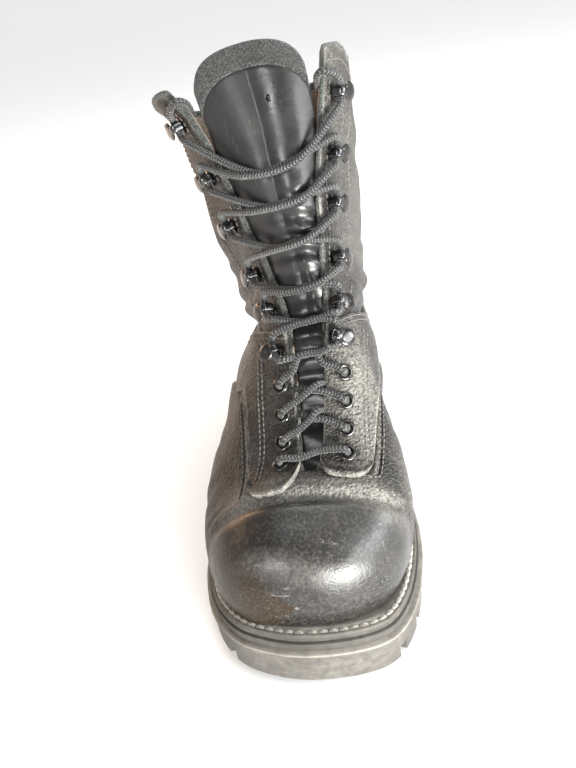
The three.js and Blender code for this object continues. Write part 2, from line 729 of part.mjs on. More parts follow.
// One quarter as a grid of two blocks: the flap, and above and behind it the leather round the ankle.
function quarterPiece(side, feet) {
  const [front, corner, frontX, backX] = flapTable[side < 0 ? "outer" : "inner"];
  const wings = rowsOf(wingTable, wingColumns);
  const flapSteps = 4;
  const ankleSteps = 13;
  const lowSteps = 7;
  const highSteps = 9;
  const edgeClear = 0.4;
  const flapTop = wings[0].low;
  const across = (u, b) => {
    const inside = Math.abs(throatEdge(Math.max(u, throat[1].u), side)) + edgeClear;
    const outside = frontX + ((backX - frontX) * Math.min(u - front, flapTop - front)) / (flapTop - front);
    return angleAcross(u, side * (inside + (outside - inside) * b));
  };
  const lastFlapAngle = Math.abs(across(flapTop, 1));
  const lastAngle = Math.PI - (gap / 2) / Math.abs(sections[13].outerHalf);
  const place = (i, j) => {
    const degrees = (angle) => (Math.abs(angle) * 180) / Math.PI;
    if (i < lowSteps) {
      const b = j / flapSteps;
      const round = corner * (1 - Math.sqrt(Math.max(0, 1 - Math.abs(2 * b - 1) ** 3)));
      const from = front + round;
      const u = from + ((flapTop - from) * i) / lowSteps;
      return [u, across(u, b)];
    }
    const angle = j <= flapSteps
      ? across(flapTop, j / flapSteps)
      : side * (lastFlapAngle + ((lastAngle - lastFlapAngle) * (j - flapSteps)) / ankleSteps);
    const low = along(wings, "degrees", "low", degrees(angle));
    const high = along(wings, "degrees", "high", degrees(angle));
    const u = low + ((high - low) * (i - lowSteps)) / highSteps;
    if (j > flapSteps) return [u, angle];
    const edge = Math.abs(across(u, 0));
    const edgeBelow = Math.abs(across(flapTop, 0));
    const share = (Math.abs(angle) - edgeBelow) / (lastFlapAngle - edgeBelow);
    return [u, side * (edge + (lastFlapAngle - edge) * share)];
  };
  const has = (i, j) => i >= lowSteps || j < flapSteps;
  const slab = maskedSlab(place, has, lowSteps + highSteps, flapSteps + ankleSteps, quarterLow, quarterHigh);
  return slab.subtract(feet).subtract(eyeletHoles(side));
}

const tongueFaceLift = -upperWall - gap - facetAllowance - 0.3;
const tongueFootU = 4.25;
const tongueCornerU = 1.35;

function tonguePlace(a, b) {
  const across = 2 * b - 1;
  const topU = collarU + tongueRise / (sections[collarU].frontZ - sections[collarU - 1].frontZ);
  const corner = tongueCornerU * (1 - Math.sqrt(Math.max(0, 1 - across ** 2)));
  const u = tongueFootU + (topU - corner - tongueFootU) * a;
  const half = tongueHalfWidth * (0.6 + 0.24 * smoothstep(4.4, 8, u) + 0.16 * smoothstep(9, 16, u));
  const middle = (throatEdge(u, 1) + throatEdge(u, -1)) / 2;
  return [u, angleAcross(u, middle + across * half)];
}

function tonguePiece() {
  return formSlab(tonguePlace, 20, 6, tongueFaceLift - tongueThickness, tongueFaceLift);
}

// Fittings

function onFlap(u) {
  return u < wingTable[0][2];
}

function fittingGround(u) {
  return onFlap(u) ? quarterHigh + gap : gap + facetAllowance;
}

// A riveted plate, a bend at the opening's edge and a disc that keeps the lace behind the bend.
function hookPiece({ u, x }) {
  const ground = fittingGround(u);
  const plateTop = ground + hookPlateThickness;
  const discBase = plateTop + hookClearHeight;
  const plate = new THREE.CylinderGeometry(hookPlateRadius, hookPlateRadius, hookPlateThickness, 8);
  plate.rotateX(Math.PI / 2);
  plate.translate(0, 0, ground + hookPlateThickness / 2);
  const disc = new THREE.CylinderGeometry(hookDiscRadius, hookDiscRadius, hookDiscThickness, 10);
  disc.rotateX(Math.PI / 2);
  disc.translate(0.8, 0, discBase + hookDiscThickness / 2);
  const far = -hookNeckReach - hookNeckThickness / 2;
  const near = far + hookNeckThickness;
  const bend = new THREE.ExtrudeGeometry(
    new THREE.Shape([
      [-1.5, ground + 0.15],
      [-1.5, plateTop - 0.15],
      [near, plateTop - 0.15],
      [near, discBase + 0.15],
      [-1.5, discBase + 0.15],
      [-1.5, discBase + hookDiscThickness - 0.15],
      [far, discBase + hookDiscThickness - 0.15],
      [far, ground + 0.15],
    ].map(([a, b]) => new THREE.Vector2(a, b))),
    { depth: hookNeckWidth, bevelEnabled: false },
  );
  bend.rotateX(Math.PI / 2);
  bend.translate(0, hookNeckWidth / 2, 0);
  const seat = seatOf(u, x);
  return wasm.Manifold.union([plate, disc, bend].map((shape) => manifoldOf(shape.applyMatrix4(seat))));
}

// Laces, each strand a list of places on the form: u, distance from the centre line, lift.

function stepAlong(u, x, millimetres) {
  const angle = angleAcross(u, x);
  const perU = footForm(u + 0.1, angle, 0).distanceTo(footForm(u - 0.1, angle, 0)) / 0.2;
  return millimetres / perU;
}

// The places where a strand leaves a hook from behind its bend; way is 1 to the collar, -1 to the toe.
function hookPort({ u, x }, way) {
  const lift = fittingGround(u) + hookPlateThickness + hookClearHeight / 2;
  const behind = hookNeckReach - hookNeckThickness / 2 - laceDiameter / 2 - 0.5;
  const seat = seatOf(u, x);
  const toCollar = rawPoint(u + 0.1, angleAcross(u, x)).sub(rawPoint(u, angleAcross(u, x)));
  const sideAxis = new THREE.Vector3().setFromMatrixColumn(seat, 1);
  const turn = way * Math.sign(sideAxis.dot(toCollar));
  const halfNeck = hookNeckWidth / 2;
  return [
    [-behind, 0.7, lift],
    [-behind, halfNeck + 1.4, lift],
    [-behind - 1.4, halfNeck + laceDiameter / 2 + 2.2, lift + 0.5],
    [-behind - 4.2, halfNeck + laceDiameter / 2 + 3.2, lift + 0.9],
  ].map(([a, b, c]) => new THREE.Vector3(a, turn * b, c).applyMatrix4(seat));
}

const overFlap = quarterHigh + laceDiameter / 2 + 0.7;
const onTongue = tongueFaceLift + laceDiameter / 2 + 0.9;

// The places where a strand leaves an eyelet and passes over its own edge of the opening.
function eyeletPort({ u, x }) {
  const side = Math.sign(x);
  const edge = throatEdge(u, side);
  return [
    [u, x - side * 1.2, overFlap + eyeletFlangeThickness + 0.2],
    [u + stepAlong(u, x, 2.2), (x + edge) / 2, overFlap + 0.4],
    [u + stepAlong(u, x, 4.5), edge - side * 0.6, overFlap],
  ];
}

function strand(places) {
  const points = places.map((place) => {
    if (place.isVector3) return place;
    const [u, x, lift] = place;
    return footForm(u, angleAcross(u, x), lift);
  });
  const curve = new THREE.CatmullRomCurve3(points, false, "centripetal");
  const ring = [];
  for (let i = 0; i < laceSides; i += 1) {
    const angle = (2 * Math.PI * i) / laceSides;
    ring.push(new THREE.Vector2((laceDiameter / 2) * Math.cos(angle), (laceDiameter / 2) * Math.sin(angle)));
  }
  return manifoldOf(new THREE.ExtrudeGeometry(new THREE.Shape(ring), {
    steps: places.length + 2,
    extrudePath: curve,
    bevelEnabled: false,
  }));
}

const laceStep = laceDiameter * 0.62;

// Strands between two rows of eyelets: each goes under the opposite edge and ends beside it.
function eyeletCrossing(low, mid) {
  const strandFrom = (side, over) => {
    const port = eyeletPort(low[side]);
    const far = throatEdge(mid.u, -side) + side * (laceDiameter / 2 + 0.8);
    return strand([...port, [mid.u, mid.x, overFlap - 1.4 + over], [mid.u + 0.12, far, overFlap - 2 + over]]);
  };
  return strandFrom(-1, laceStep).add(strandFrom(1, 0));
}

// Strands that rise over the tongue to the hooks of the next row.
function hookCrossing(low, high, mid, fromEyelets) {
  const sag = fromEyelets ? overFlap - 1.2 : onTongue;
  const strandFrom = (side, over) => {
    const start = fromEyelets ? eyeletPort(low[side]) : hookPort(low[side], 1);
    const end = hookPort(high[-side], -1).reverse();
    const reach = 0.4 * Math.abs(throatEdge(mid.u, side));
    const middle = [
      [mid.u, mid.x + side * reach, sag + over],
      [mid.u, mid.x - side * reach, sag + over],
    ];
    return strand([...start, ...middle, ...end]);
  };
  return strandFrom(-1, laceStep).add(strandFrom(1, 0));
}

function barPiece(row) {
  const ends = [-1, 1].map((side) => eyeletPort(row[side])[0]);
  const edges = [-1, 1].map((side) => [row[side].u, throatEdge(row[side].u, side), overFlap]);
  return strand([ends[0], edges[0], edges[1], ends[1]]);
}

// Assembly

const belowMidsole = featherSlab(farBelow, midsoleTopBelow - gap);
const belowWelt = featherSlab(farBelow, -gap);

addPiece("outsole", outsolePiece(), rubber);
addPiece("midsole", midsolePiece(), rubber);
addPiece("welt", weltPiece(), weltRubber);
addPiece("insole", insolePiece(), lining);
addPiece("upper", upperPiece(belowMidsole), leather);
addPiece("quarter_outer", quarterPiece(-1, belowWelt), leather);
addPiece("quarter_inner", quarterPiece(1, belowWelt), leather);
addPiece("tongue", tonguePiece(), smoothLeather);

const eyelets = { "-1": placesOf(eyeletTable, -1), 1: placesOf(eyeletTable, 1) };
const hooks = { "-1": placesOf(hookTable, -1), 1: placesOf(hookTable, 1) };
for (const [side, sideName] of [[-1, "outer"], [1, "inner"]]) {
  eyelets[side].forEach((place, i) => {
    addPiece("eyelet_" + sideName + "_" + (i + 1), eyeletPiece(place), blackMetal);
  });
  hooks[side].forEach((place, i) => {
    addPiece("hook_" + sideName + "_" + (i + 1), hookPiece(place), blackMetal);
  });
}

const rowOf = (places, i) => ({ "-1": places[-1][i], 1: places[1][i] });
const crossings = rowsOf(crossingTable, crossingColumns);
addPiece("lace_bar", barPiece(rowOf(eyelets, 0)), laceCord);
crossings.forEach((mid, i) => {
  const low = i + 1;
  const lowHook = low - eyeletTable.length;
  let solid = null;
  if (low < eyeletTable.length - 1) {
    solid = eyeletCrossing(rowOf(eyelets, low), mid);
  } else if (lowHook < 0) {
    solid = hookCrossing(rowOf(eyelets, low), rowOf(hooks, 0), mid, true);
  } else {
    solid = hookCrossing(rowOf(hooks, lowHook), rowOf(hooks, lowHook + 1), mid, false);
  }
  addPiece("lace_crossing_" + (i + 1), solid, laceCord);
});

// The origin is under the middle of the boot, on the ground.
const box = new THREE.Box3().setFromObject(boot);
boot.position.set(-(box.min.x + box.max.x) / 2, -(box.min.y + box.max.y) / 2, -box.min.z);

export default boot;
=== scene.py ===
"""A worn black leather combat boot for the right foot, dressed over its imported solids.

Sizes are millimetres in the functions and become metres where a mesh is made. The toe points
along -Y and the inner side of the foot is +X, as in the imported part.
"""

import math
import random

import bpy
import bmesh
import numpy as np
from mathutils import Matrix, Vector, noise


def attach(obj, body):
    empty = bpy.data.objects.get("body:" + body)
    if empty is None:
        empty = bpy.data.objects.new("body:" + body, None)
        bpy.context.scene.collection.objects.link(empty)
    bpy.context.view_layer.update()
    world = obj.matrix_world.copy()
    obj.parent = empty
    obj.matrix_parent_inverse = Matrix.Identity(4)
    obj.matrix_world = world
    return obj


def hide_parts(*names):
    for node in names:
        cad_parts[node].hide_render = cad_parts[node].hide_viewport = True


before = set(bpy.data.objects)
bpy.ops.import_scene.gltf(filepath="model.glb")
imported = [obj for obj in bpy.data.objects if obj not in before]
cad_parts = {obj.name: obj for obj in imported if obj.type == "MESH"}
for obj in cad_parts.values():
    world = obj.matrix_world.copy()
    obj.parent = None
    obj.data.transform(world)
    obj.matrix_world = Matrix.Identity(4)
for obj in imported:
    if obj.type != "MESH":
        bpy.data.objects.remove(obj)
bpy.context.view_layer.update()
random.seed(11)

# Driving sizes, as in the part
MM = 0.001
PART_SHIFT = np.array([-0.40, 0.0, 0.0])
SOLE_LENGTH = 305.0
BALL_WIDTH = 118.0
COLLAR_HEIGHT = 238.0
UPPER_WALL = 2.2
OVERLAY_THICKNESS = 1.6
TONGUE_THICKNESS = 4.5
TONGUE_HALF_WIDTH = 27.5
TONGUE_RISE = 12.0
WELT_THICKNESS = 3.4
WELT_INSET = 3.0
MIDSOLE_THICKNESS = 4.8
MIDSOLE_INSET = 2.0
OUTSOLE_RIM_HEIGHT = 2.4
OUTSOLE_RIM_STEP = 0.9
LUG_DEPTH = 5.0
NOTCH_WIDTH = 3.6
WORN_NOTCH_WIDTH = 5.2
WORN_NOTCH_DEPTH = 7.0
NOTCH_LENGTH = 15.0
EYELET_HOLE_RADIUS = 2.3
EYELET_BARREL_WALL = 0.5
EYELET_FLANGE_RADIUS = 4.1
EYELET_FLANGE_THICKNESS = 0.9
HOOK_PLATE_RADIUS = 4.0
HOOK_PLATE_THICKNESS = 0.8
HOOK_DISC_RADIUS = 4.3
HOOK_DISC_THICKNESS = 1.1
HOOK_CLEAR_HEIGHT = 4.9
HOOK_NECK_WIDTH = 3.8
HOOK_NECK_THICKNESS = 1.3
HOOK_NECK_REACH = 5.2
LACE_DIAMETER = 3.6
GAP = 0.3
FACET_ALLOWANCE = 0.45

# Sections of the upper from the toe tip to the collar, as shares of the driving sizes
SECTION_COLUMNS = ["back_y", "back_z", "front_y", "front_z", "outer_half", "inner_half", "back_x",
                   "front_x", "widest_at", "front_power", "back_power", "back_roll", "front_roll"]
SECTION_TABLE = [
    [-0.474, 0.185, -0.474, 0.185, 0, 0, 0, 0, 0.5, 2.2, 2.6, 0, 0],
    [-0.472, 0.143, -0.466, 0.235, 0.237, 0.271, 0, 0, 0.5, 2.2, 2.8, 0, 0],
    [-0.462, 0.103, -0.444, 0.279, 0.441, 0.475, 0, 0.017, 0.48, 2.3, 2.7, 0, 0],
    [-0.436, 0.076, -0.398, 0.307, 0.636, 0.669, 0, 0.051, 0.46, 2.3, 2.7, 0, 0.02],
    [-0.387, 0.055, -0.339, 0.324, 0.797, 0.797, -0.008, 0.093, 0.45, 2.3, 2.6, 0, 0.05],
    [-0.318, 0.042, -0.284, 0.342, 0.898, 0.847, -0.025, 0.136, 0.43, 2.2, 2.6, 0, 0.09],
    [-0.233, 0.04, -0.233, 0.408, 0.932, 0.805, -0.051, 0.169, 0.4, 2.0, 2.6, 0, 0.14],
    [-0.141, 0.046, -0.2, 0.464, 0.915, 0.729, -0.068, 0.195, 0.37, 1.9, 2.6, 0, 0.17],
    [-0.043, 0.059, -0.179, 0.515, 0.856, 0.661, -0.059, 0.212, 0.36, 1.8, 2.6, 0, 0.17],
    [0.072, 0.08, -0.159, 0.565, 0.78, 0.619, -0.042, 0.22, 0.36, 1.8, 2.6, 0, 0.16],
    [0.197, 0.095, -0.144, 0.609, 0.72, 0.576, -0.025, 0.203, 0.36, 1.85, 2.6, 0, 0.14],
    [0.328, 0.105, -0.131, 0.651, 0.678, 0.551, -0.017, 0.169, 0.37, 1.95, 2.6, 0, 0.13],
    [0.433, 0.122, -0.121, 0.687, 0.695, 0.542, -0.017, 0.153, 0.4, 2.05, 2.6, 0, 0.13],
    [0.482, 0.197, -0.111, 0.718, 0.703, 0.551, -0.025, 0.136, 0.43, 2.15, 2.6, 0, 0.13],
    [0.49, 0.294, -0.102, 0.761, 0.72, 0.559, -0.042, 0.11, 0.46, 2.25, 2.5, 0.03, 0.13],
    [0.475, 0.408, -0.092, 0.805, 0.737, 0.585, -0.059, 0.085, 0.5, 2.35, 2.3, 0.07, 0.13],
    [0.446, 0.525, -0.082, 0.851, 0.763, 0.627, -0.085, 0.059, 0.52, 2.4, 2.2, 0.1, 0.13],
    [0.413, 0.643, -0.07, 0.897, 0.797, 0.669, -0.119, 0.034, 0.54, 2.45, 2.2, 0.13, 0.13],
    [0.377, 0.773, -0.061, 0.943, 0.822, 0.695, -0.153, 0, 0.55, 2.5, 2.2, 0.13, 0.13],
    [0.341, 0.908, -0.048, 1.0, 0.864, 0.737, -0.186, -0.042, 0.55, 2.6, 2.2, 0.13, 0.13],
]
COLLAR_U = len(SECTION_TABLE) - 1
COLLAR_DIP = 0.42
COLLAR_DIP_FROM = 0.1
COLLAR_DIP_TO = 0.6
# Steps for the form's normal, which can't be taken at the very tip of the toe
NORMAL_STEP = 0.03
TOE_TIP_U = 0.15

# Outline of the outsole and heights along it, toe to heel
OUTLINE_TABLE = np.array([
    [-0.5, 0.051, 0.051],
    [-0.49, -0.271, 0.441],
    [-0.464, -0.542, 0.695],
    [-0.41, -0.763, 0.847],
    [-0.338, -0.89, 0.932],
    [-0.259, -0.941, 0.958],
    [-0.18, -0.932, 0.915],
    [-0.098, -0.856, 0.831],
    [0, -0.756, 0.754],
    [0.115, -0.676, 0.7],
    [0.23, -0.648, 0.681],
    [0.328, -0.651, 0.672],
    [0.41, -0.593, 0.619],
    [0.466, -0.424, 0.449],
    [0.492, -0.203, 0.22],
    [0.5, 0.008, 0.008],
])
SIDE_TABLE = np.array([
    [-0.5, 0.132, 0.021],
    [-0.459, 0.122, 0.013],
    [-0.41, 0.111, 0.004],
    [-0.361, 0.105, 0],
    [-0.279, 0.101, 0],
    [-0.164, 0.105, 0],
    [-0.066, 0.118, 0],
    [0.066, 0.139, 0.04],
    [0.197, 0.155, 0.05],
    [0.328, 0.164, 0.05],
    [0.5, 0.168, 0.05],
])
FOREFOOT_BACK_SHARE = -0.115
ARCH_FRONT_SHARE = -0.07
HEEL_BREAST_SHARE = 0.2
HEEL_BREAST_LEAN = 4
HEEL_BEVEL_SHARE = 0.47
HEEL_BEVEL_RISE = 3
FOREFOOT_NOTCHES = [-0.445, -0.385, -0.325, -0.265, -0.205, -0.15]
HEEL_NOTCHES = [0.255, 0.32, 0.385, 0.44]
CENTRE_NOTCHES = [-0.415, -0.355, -0.295, -0.235, -0.178, 0.288, 0.352, 0.412]
NOTCH_SLANT = 0.22

# The laced opening: u along the form and the distance of each edge from the centre line
THROAT_TABLE = np.array([
    [4.5, 2.2, 2.8],
    [4.75, 4.0, 4.4],
    [5.2, 5.4, 5.0],
    [5.8, 6.8, 4.8],
    [6.5, 8.6, 4.6],
    [7.5, 10.6, 4.8],
    [8.5, 12.2, 5.2],
    [9.5, 13.8, 7.2],
    [11.0, 16.6, 9.8],
    [12.4, 19.8, 11.4],
    [13.8, 24.0, 13.4],
    [15.0, 26.2, 16.4],
    [16.0, 28.8, 19.6],
    [17.3, 32.6, 24.2],
    [18.1, 35.8, 27.6],
    [19.1, 41.0, 32.4],
    [20.5, 46.0, 36.5],
])
# Eyelets and hooks from the toe up: u and distance from the centre line, outer side then inner
EYELETS = [[4.72, 13.2, 4.9, 16.8], [5.33, 13.6, 5.48, 15.8],
           [5.95, 14.4, 6.08, 15.0], [6.85, 15.6, 6.9, 13.8]]
HOOKS = [[8.1, 17.2, 8.1, 10.9], [9.9, 19.8, 9.4, 12.4], [11.7, 23.4, 11.5, 15.8],
         [14.2, 30.0, 14.0, 19.2], [16.1, 34.6, 15.8, 24.4], [18.1, 41.2, 17.8, 31.8]]
# Where the lace crosses the opening, from the toe up: u and place across
CROSSINGS = [[5.7, 0.2], [6.4, -0.6], [7.6, -1.2], [8.75, -2.2], [10.1, -2.4], [12.2, -4.6],
             [14.15, -4.0], [15.55, -4.0]]
# Front, corner depth, and half widths of each flap at its front and its top
FLAPS = {-1: (3.78, 0.75, 26.5, 34.0), 1: (4.2, 0.6, 28.0, 31.0)}
# Degrees from the front, and the lower and upper edge of the leather round the ankle
WING_TABLE = np.array([
    [12, 7.8, 8.6],
    [28, 7.8, 9.15],
    [45, 7.8, 9.75],
    [60, 8.35, 10.3],
    [75, 8.85, 10.85],
    [90, 9.3, 11.6],
    [110, 9.65, 12.7],
    [130, 9.8, 13.8],
    [155, 9.85, 14.7],
    [180, 9.85, 15.0],
])


# The form

def scaled_sections():
    half_width = BALL_WIDTH / 2
    scale = [SOLE_LENGTH, COLLAR_HEIGHT, SOLE_LENGTH, COLLAR_HEIGHT] + [half_width] * 4 + [1.0] * 5
    table = np.array(SECTION_TABLE, float) * np.array(scale)
    first, last, before_last = table[1], table[-1], table[-2]
    mirrored = first.copy()
    mirrored[0:4] = first[[2, 3, 0, 1]]
    mirrored[4:6] = -first[4:6]
    return np.vstack([mirrored, table, 2 * last - before_last])


SECTIONS = scaled_sections()


def between_rows(table, i, t):
    """The smooth curve through a table's rows, the share t past row i + 1."""
    a, b, c, d = (table[i + k] for k in range(4))
    return 0.5 * (2 * b + (c - a) * t + (2 * a - 5 * b + 4 * c - d) * t**2 + (3 * b - a - 3 * c + d) * t**3)


def section_at(u):
    u = np.asarray(u, float)
    i = np.clip(np.floor(u).astype(int), 0, COLLAR_U - 1)
    rows = between_rows(SECTIONS, i, (u - i)[..., None])
    return {name: rows[..., k] for k, name in enumerate(SECTION_COLUMNS)}


def as_pair(u, angle):
    return np.broadcast_arrays(np.asarray(u, float), np.asarray(angle, float))


def raw_point(u, angle):
    u, angle = as_pair(u, angle)
    s = section_at(u)
    cosine, sine = np.cos(angle), np.sin(angle)
    front = cosine >= 0
    power = np.where(front, s["front_power"], s["back_power"])
    reach = np.sign(cosine) * np.abs(cosine) ** (2 / power)
    share = s["widest_at"] + reach * np.where(front, 1 - s["widest_at"], s["widest_at"])
    half = np.where(sine >= 0, s["inner_half"], s["outer_half"])
    across = np.sign(sine) * np.abs(sine) ** (2 / power) * half
    roll = s["back_roll"] + (s["front_roll"] - s["back_roll"]) * share
    return np.stack([
        s["back_x"] + (s["front_x"] - s["back_x"]) * share + across,
        s["back_y"] + (s["front_y"] - s["back_y"]) * share,
        s["back_z"] + (s["front_z"] - s["back_z"]) * share + across * roll,
    ], -1)


def outward_normal(u, angle):
    u, angle = as_pair(u, angle)
    near = np.maximum(u, TOE_TIP_U)
    along_u = raw_point(near + NORMAL_STEP, angle) - raw_point(near - NORMAL_STEP, angle)
    around = raw_point(near, angle + NORMAL_STEP) - raw_point(near, angle - NORMAL_STEP)
    normal = np.cross(around, along_u)
    return normal / np.linalg.norm(normal, axis=-1, keepdims=True)


def form(u, angle, lift=0.0):
    return raw_point(u, angle) + outward_normal(u, angle) * np.asarray(lift, float)[..., None]


def angle_across(u, distance):
    u, distance = as_pair(u, distance)
    s = section_at(u)
    half = np.where(distance >= 0, s["inner_half"], s["outer_half"])
    share = np.minimum(np.abs(distance) / np.maximum(half, 1e-6), 0.98)
    return np.sign(distance) * np.arcsin(share ** (s["front_power"] / 2))


def throat_edge(u, side):
    return side * np.interp(u, THROAT_TABLE[:, 0], THROAT_TABLE[:, 1 if side < 0 else 2])


def smoothstep(low, high, x):
    t = np.clip((x - low) / (high - low), 0, 1)
    return t * t * (3 - 2 * t)


def signed_degrees(angle):
    """Degrees from the front, less than 0 on the outer side."""
    return np.degrees((np.asarray(angle) + np.pi) % (2 * np.pi) - np.pi)


def side_window(degrees, start, full, fall, end):
    """1 between full and fall degrees from the front, 0 outside start and end."""
    return smoothstep(start, full, degrees) * (1 - smoothstep(fall, end, degrees))


def collar_at(angle):
    return COLLAR_U - COLLAR_DIP * (1 - smoothstep(COLLAR_DIP_FROM, COLLAR_DIP_TO, np.cos(angle)))


def wing_edge(angle, column):
    return np.interp(np.abs(signed_degrees(angle)), WING_TABLE[:, 0], WING_TABLE[:, column])


def height_along(y, column):
    return np.interp(y, SIDE_TABLE[:, 0] * SOLE_LENGTH, SIDE_TABLE[:, column] * COLLAR_HEIGHT)


def feather_height(y):
    return height_along(y, 1)


def ground_height(y):
    return height_along(y, 2)


# Folds of the leather, in millimetres along its normal

def gauss(x):
    return np.exp(-x * x)


# u at the front, its rise at 60 degrees on the outer and the inner side, from and to degrees,
# depth, width in u
CREASES = [
    [3.62, 0.27, 0.48, -75, 80, 1.5, 0.16],
    [4.02, 0.30, 0.42, -95, -30, 0.55, 0.12],
    [4.25, 0.30, 0.40, 40, 95, 0.6, 0.12],
    [5.2, 0.25, 0.30, -100, -52, 0.7, 0.2],
    [6.3, 0.15, 0.20, 48, 100, 0.6, 0.22],
    [6.9, 0.25, 0.30, -110, -62, 0.6, 0.2],
]
# The same on the shaft
SHAFT_CREASES = [
    [9.9, 0.75, 0.7, -170, -30, 2.2, 0.26],
    [11.1, 0.55, 0.6, -140, -34, 1.8, 0.24],
    [12.6, 0.22, 0.2, -150, -60, 1.5, 0.3],
    [13.9, -0.12, 0.1, -110, -48, 1.1, 0.3],
    [15.3, 0.05, 0.1, -160, -80, 1.1, 0.4],
    [9.8, 0.7, 0.72, 30, 165, 2.0, 0.26],
    [10.9, 0.5, 0.55, 30, 140, 1.7, 0.24],
    [12.5, 0.2, 0.22, 34, 120, 1.4, 0.3],
    [14.0, 0.1, -0.1, 36, 150, 1.2, 0.34],
    [16.2, 0.1, 0.05, 50, 130, 0.9, 0.4],
]


CREASE_FADE = 18
ANKLE_FOLD_OUTER = 4.4
ANKLE_FOLD_INNER = 3.0
COLLAR_FLARE = 6.5


def crease_line(degrees, at, rise_outer, rise_inner):
    """u of a fold that climbs with the square of the way from the front."""
    return at + np.where(degrees < 0, rise_outer, rise_inner) * (degrees / 60) ** 2


def crease_depth(u, angle, table):
    """Each fold is a groove with a softer swelling on both sides."""
    degrees = signed_degrees(angle)
    total = np.zeros(np.broadcast(u, degrees).shape)
    for at, rise_outer, rise_inner, start, end, depth, width in table:
        window = side_window(degrees, start, start + CREASE_FADE, end - CREASE_FADE, end)
        x = (u - crease_line(degrees, at, rise_outer, rise_inner)) / width
        total += window * depth * (0.55 * gauss((x - 1.7) / 1.3) + 0.35 * gauss((x + 1.9) / 1.4) - gauss(x))
    return total


def soft_noise(points, size, seed):
    """Smooth noise from -1 to 1 whose lumps measure size, at points in millimetres."""
    flat = points.reshape(-1, 3) / size + seed
    values = [noise.noise(Vector(p)) for p in flat.tolist()]
    return np.array(values).reshape(points.shape[:-1])


def distance_of(u, angle):
    """Distance from the centre line, the inverse of angle_across."""
    s = section_at(u)
    half = np.where(angle >= 0, s["inner_half"], s["outer_half"])
    return np.abs(np.sin(angle)) ** (2 / s["front_power"]) * half


def flap_ridge(u, angle):
    """The vamp's edge pressed up beside each flap, with a groove outside it."""
    angle = np.radians(signed_degrees(angle))
    total = np.zeros(np.broadcast(u, angle).shape)
    for side, (front, _, front_x, back_x) in FLAPS.items():
        rise = np.clip((u - front) / (WING_TABLE[0, 1] - front), 0, 1)
        beyond = distance_of(u, angle) - (front_x + (back_x - front_x) * rise)
        here = (np.sign(angle) == side) * (np.cos(angle) > 0) * smoothstep(front, front + 0.6, u)
        total += here * (1.8 * gauss((beyond - 1.5) / 0.9) - 0.9 * gauss((beyond - 3.9) / 0.8))
    return total


def leather_relief(u, angle, points):
    folds = crease_depth(u, angle, CREASES) + flap_ridge(u, angle)
    return folds + 0.5 * soft_noise(points, 26, 3.1) + 0.16 * soft_noise(points, 9, 7.7)


def ankle_fold(u, angle):
    """The narrow place where the shaft breaks over the leather round the ankle."""
    degrees = signed_degrees(angle)
    outer = ANKLE_FOLD_OUTER * side_window(-degrees, 40, 60, 112, 150)
    inner = ANKLE_FOLD_INNER * side_window(degrees, 46, 62, 105, 140)
    return -(outer + inner) * gauss((u - wing_edge(angle, 2) - 0.15) / 0.8)


def shaft_relief(u, angle, points):
    """The shaft's bagging above the ankle, its creases and its small unevenness."""
    degrees = signed_degrees(angle)
    above = u - wing_edge(angle, 2)
    outer = side_window(-degrees, 44, 70, 120, 165)
    inner = side_window(degrees, 44, 66, 105, 150)
    bag = outer * (5.6 * gauss((u - 14.3) / 2.0) + 1.6 * gauss((above - 1.0) / 0.5))
    bag += inner * (1.2 * gauss((u - 15.2) / 1.6) + 1.8 * gauss((above - 1.1) / 0.55))
    folds = crease_depth(u, angle, SHAFT_CREASES)
    relief = bag + folds + 1.3 * soft_noise(points, 32, 5.3) + 0.4 * soft_noise(points, 13, 1.9)
    relief = relief * (1 - 0.6 * smoothstep(COLLAR_U - 1.2, COLLAR_U, u)) + flare_under(u, angle)
    return relief * smoothstep(-0.15, 0.35, above)


# Meshes

WELD_DISTANCE = 0.03


def link(name, data):
    made = bpy.data.objects.new(name, data)
    bpy.context.scene.collection.objects.link(made)
    return made


def finish_mesh(name, mesh, material, sharp=50):
    mesh.materials.append(material)
    mesh.shade_smooth()
    mesh.set_sharp_from_angle(angle=math.radians(sharp))
    piece = link(name, mesh)
    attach(piece, "root")
    return piece


def raw_mesh(name, points, faces):
    """A mesh from points in millimetres."""
    mesh = bpy.data.meshes.new(name)
    mesh.from_pydata(((np.asarray(points).reshape(-1, 3) + PART_SHIFT) * MM).tolist(), [], faces)
    return mesh


def set_values(mesh, key, values):
    layer = mesh.attributes.new(key, "FLOAT", "POINT")
    layer.data.foreach_set("value", np.asarray(values, np.float32).ravel())


def clean(mesh, weld=False):
    """Welds a closing seam where asked, drops unused points and turns all faces outward."""
    work = bmesh.new()
    work.from_mesh(mesh)
    if weld:
        bmesh.ops.remove_doubles(work, verts=work.verts, dist=WELD_DISTANCE * MM)
    loose = [v for v in work.verts if not v.link_faces]
    bmesh.ops.delete(work, geom=loose, context="VERTS")
    bmesh.ops.recalc_face_normals(work, faces=work.faces)
    work.to_mesh(mesh)
    work.free()


def add_mesh(name, points, faces, material, attributes=None, weld=False, sharp=50, uv=None):
    mesh = raw_mesh(name, points, faces)
    for key, values in (attributes or {}).items():
        set_values(mesh, key, values)
    if uv is not None:
        layer = mesh.uv_layers.new(name="UVMap")
        corners = np.zeros(len(mesh.loops), np.int32)
        mesh.loops.foreach_get("vertex_index", corners)
        layer.data.foreach_set("uv", np.asarray(uv, np.float32)[corners].ravel())
    clean(mesh, weld)
    return finish_mesh(name, mesh, material, sharp)


def grid_faces(index, around=(False, False), turned=False):
    """Quads over an array of point numbers, closed along the axes that go round."""
    if around[0]:
        index = np.vstack([index, index[:1]])
    if around[1]:
        index = np.hstack([index, index[:, :1]])
    corners = [index[:-1, :-1], index[:-1, 1:], index[1:, 1:], index[1:, :-1]]
    if turned:
        corners = [corners[0]] + corners[:0:-1]
    return np.stack(corners, -1).reshape(-1, 4).tolist()


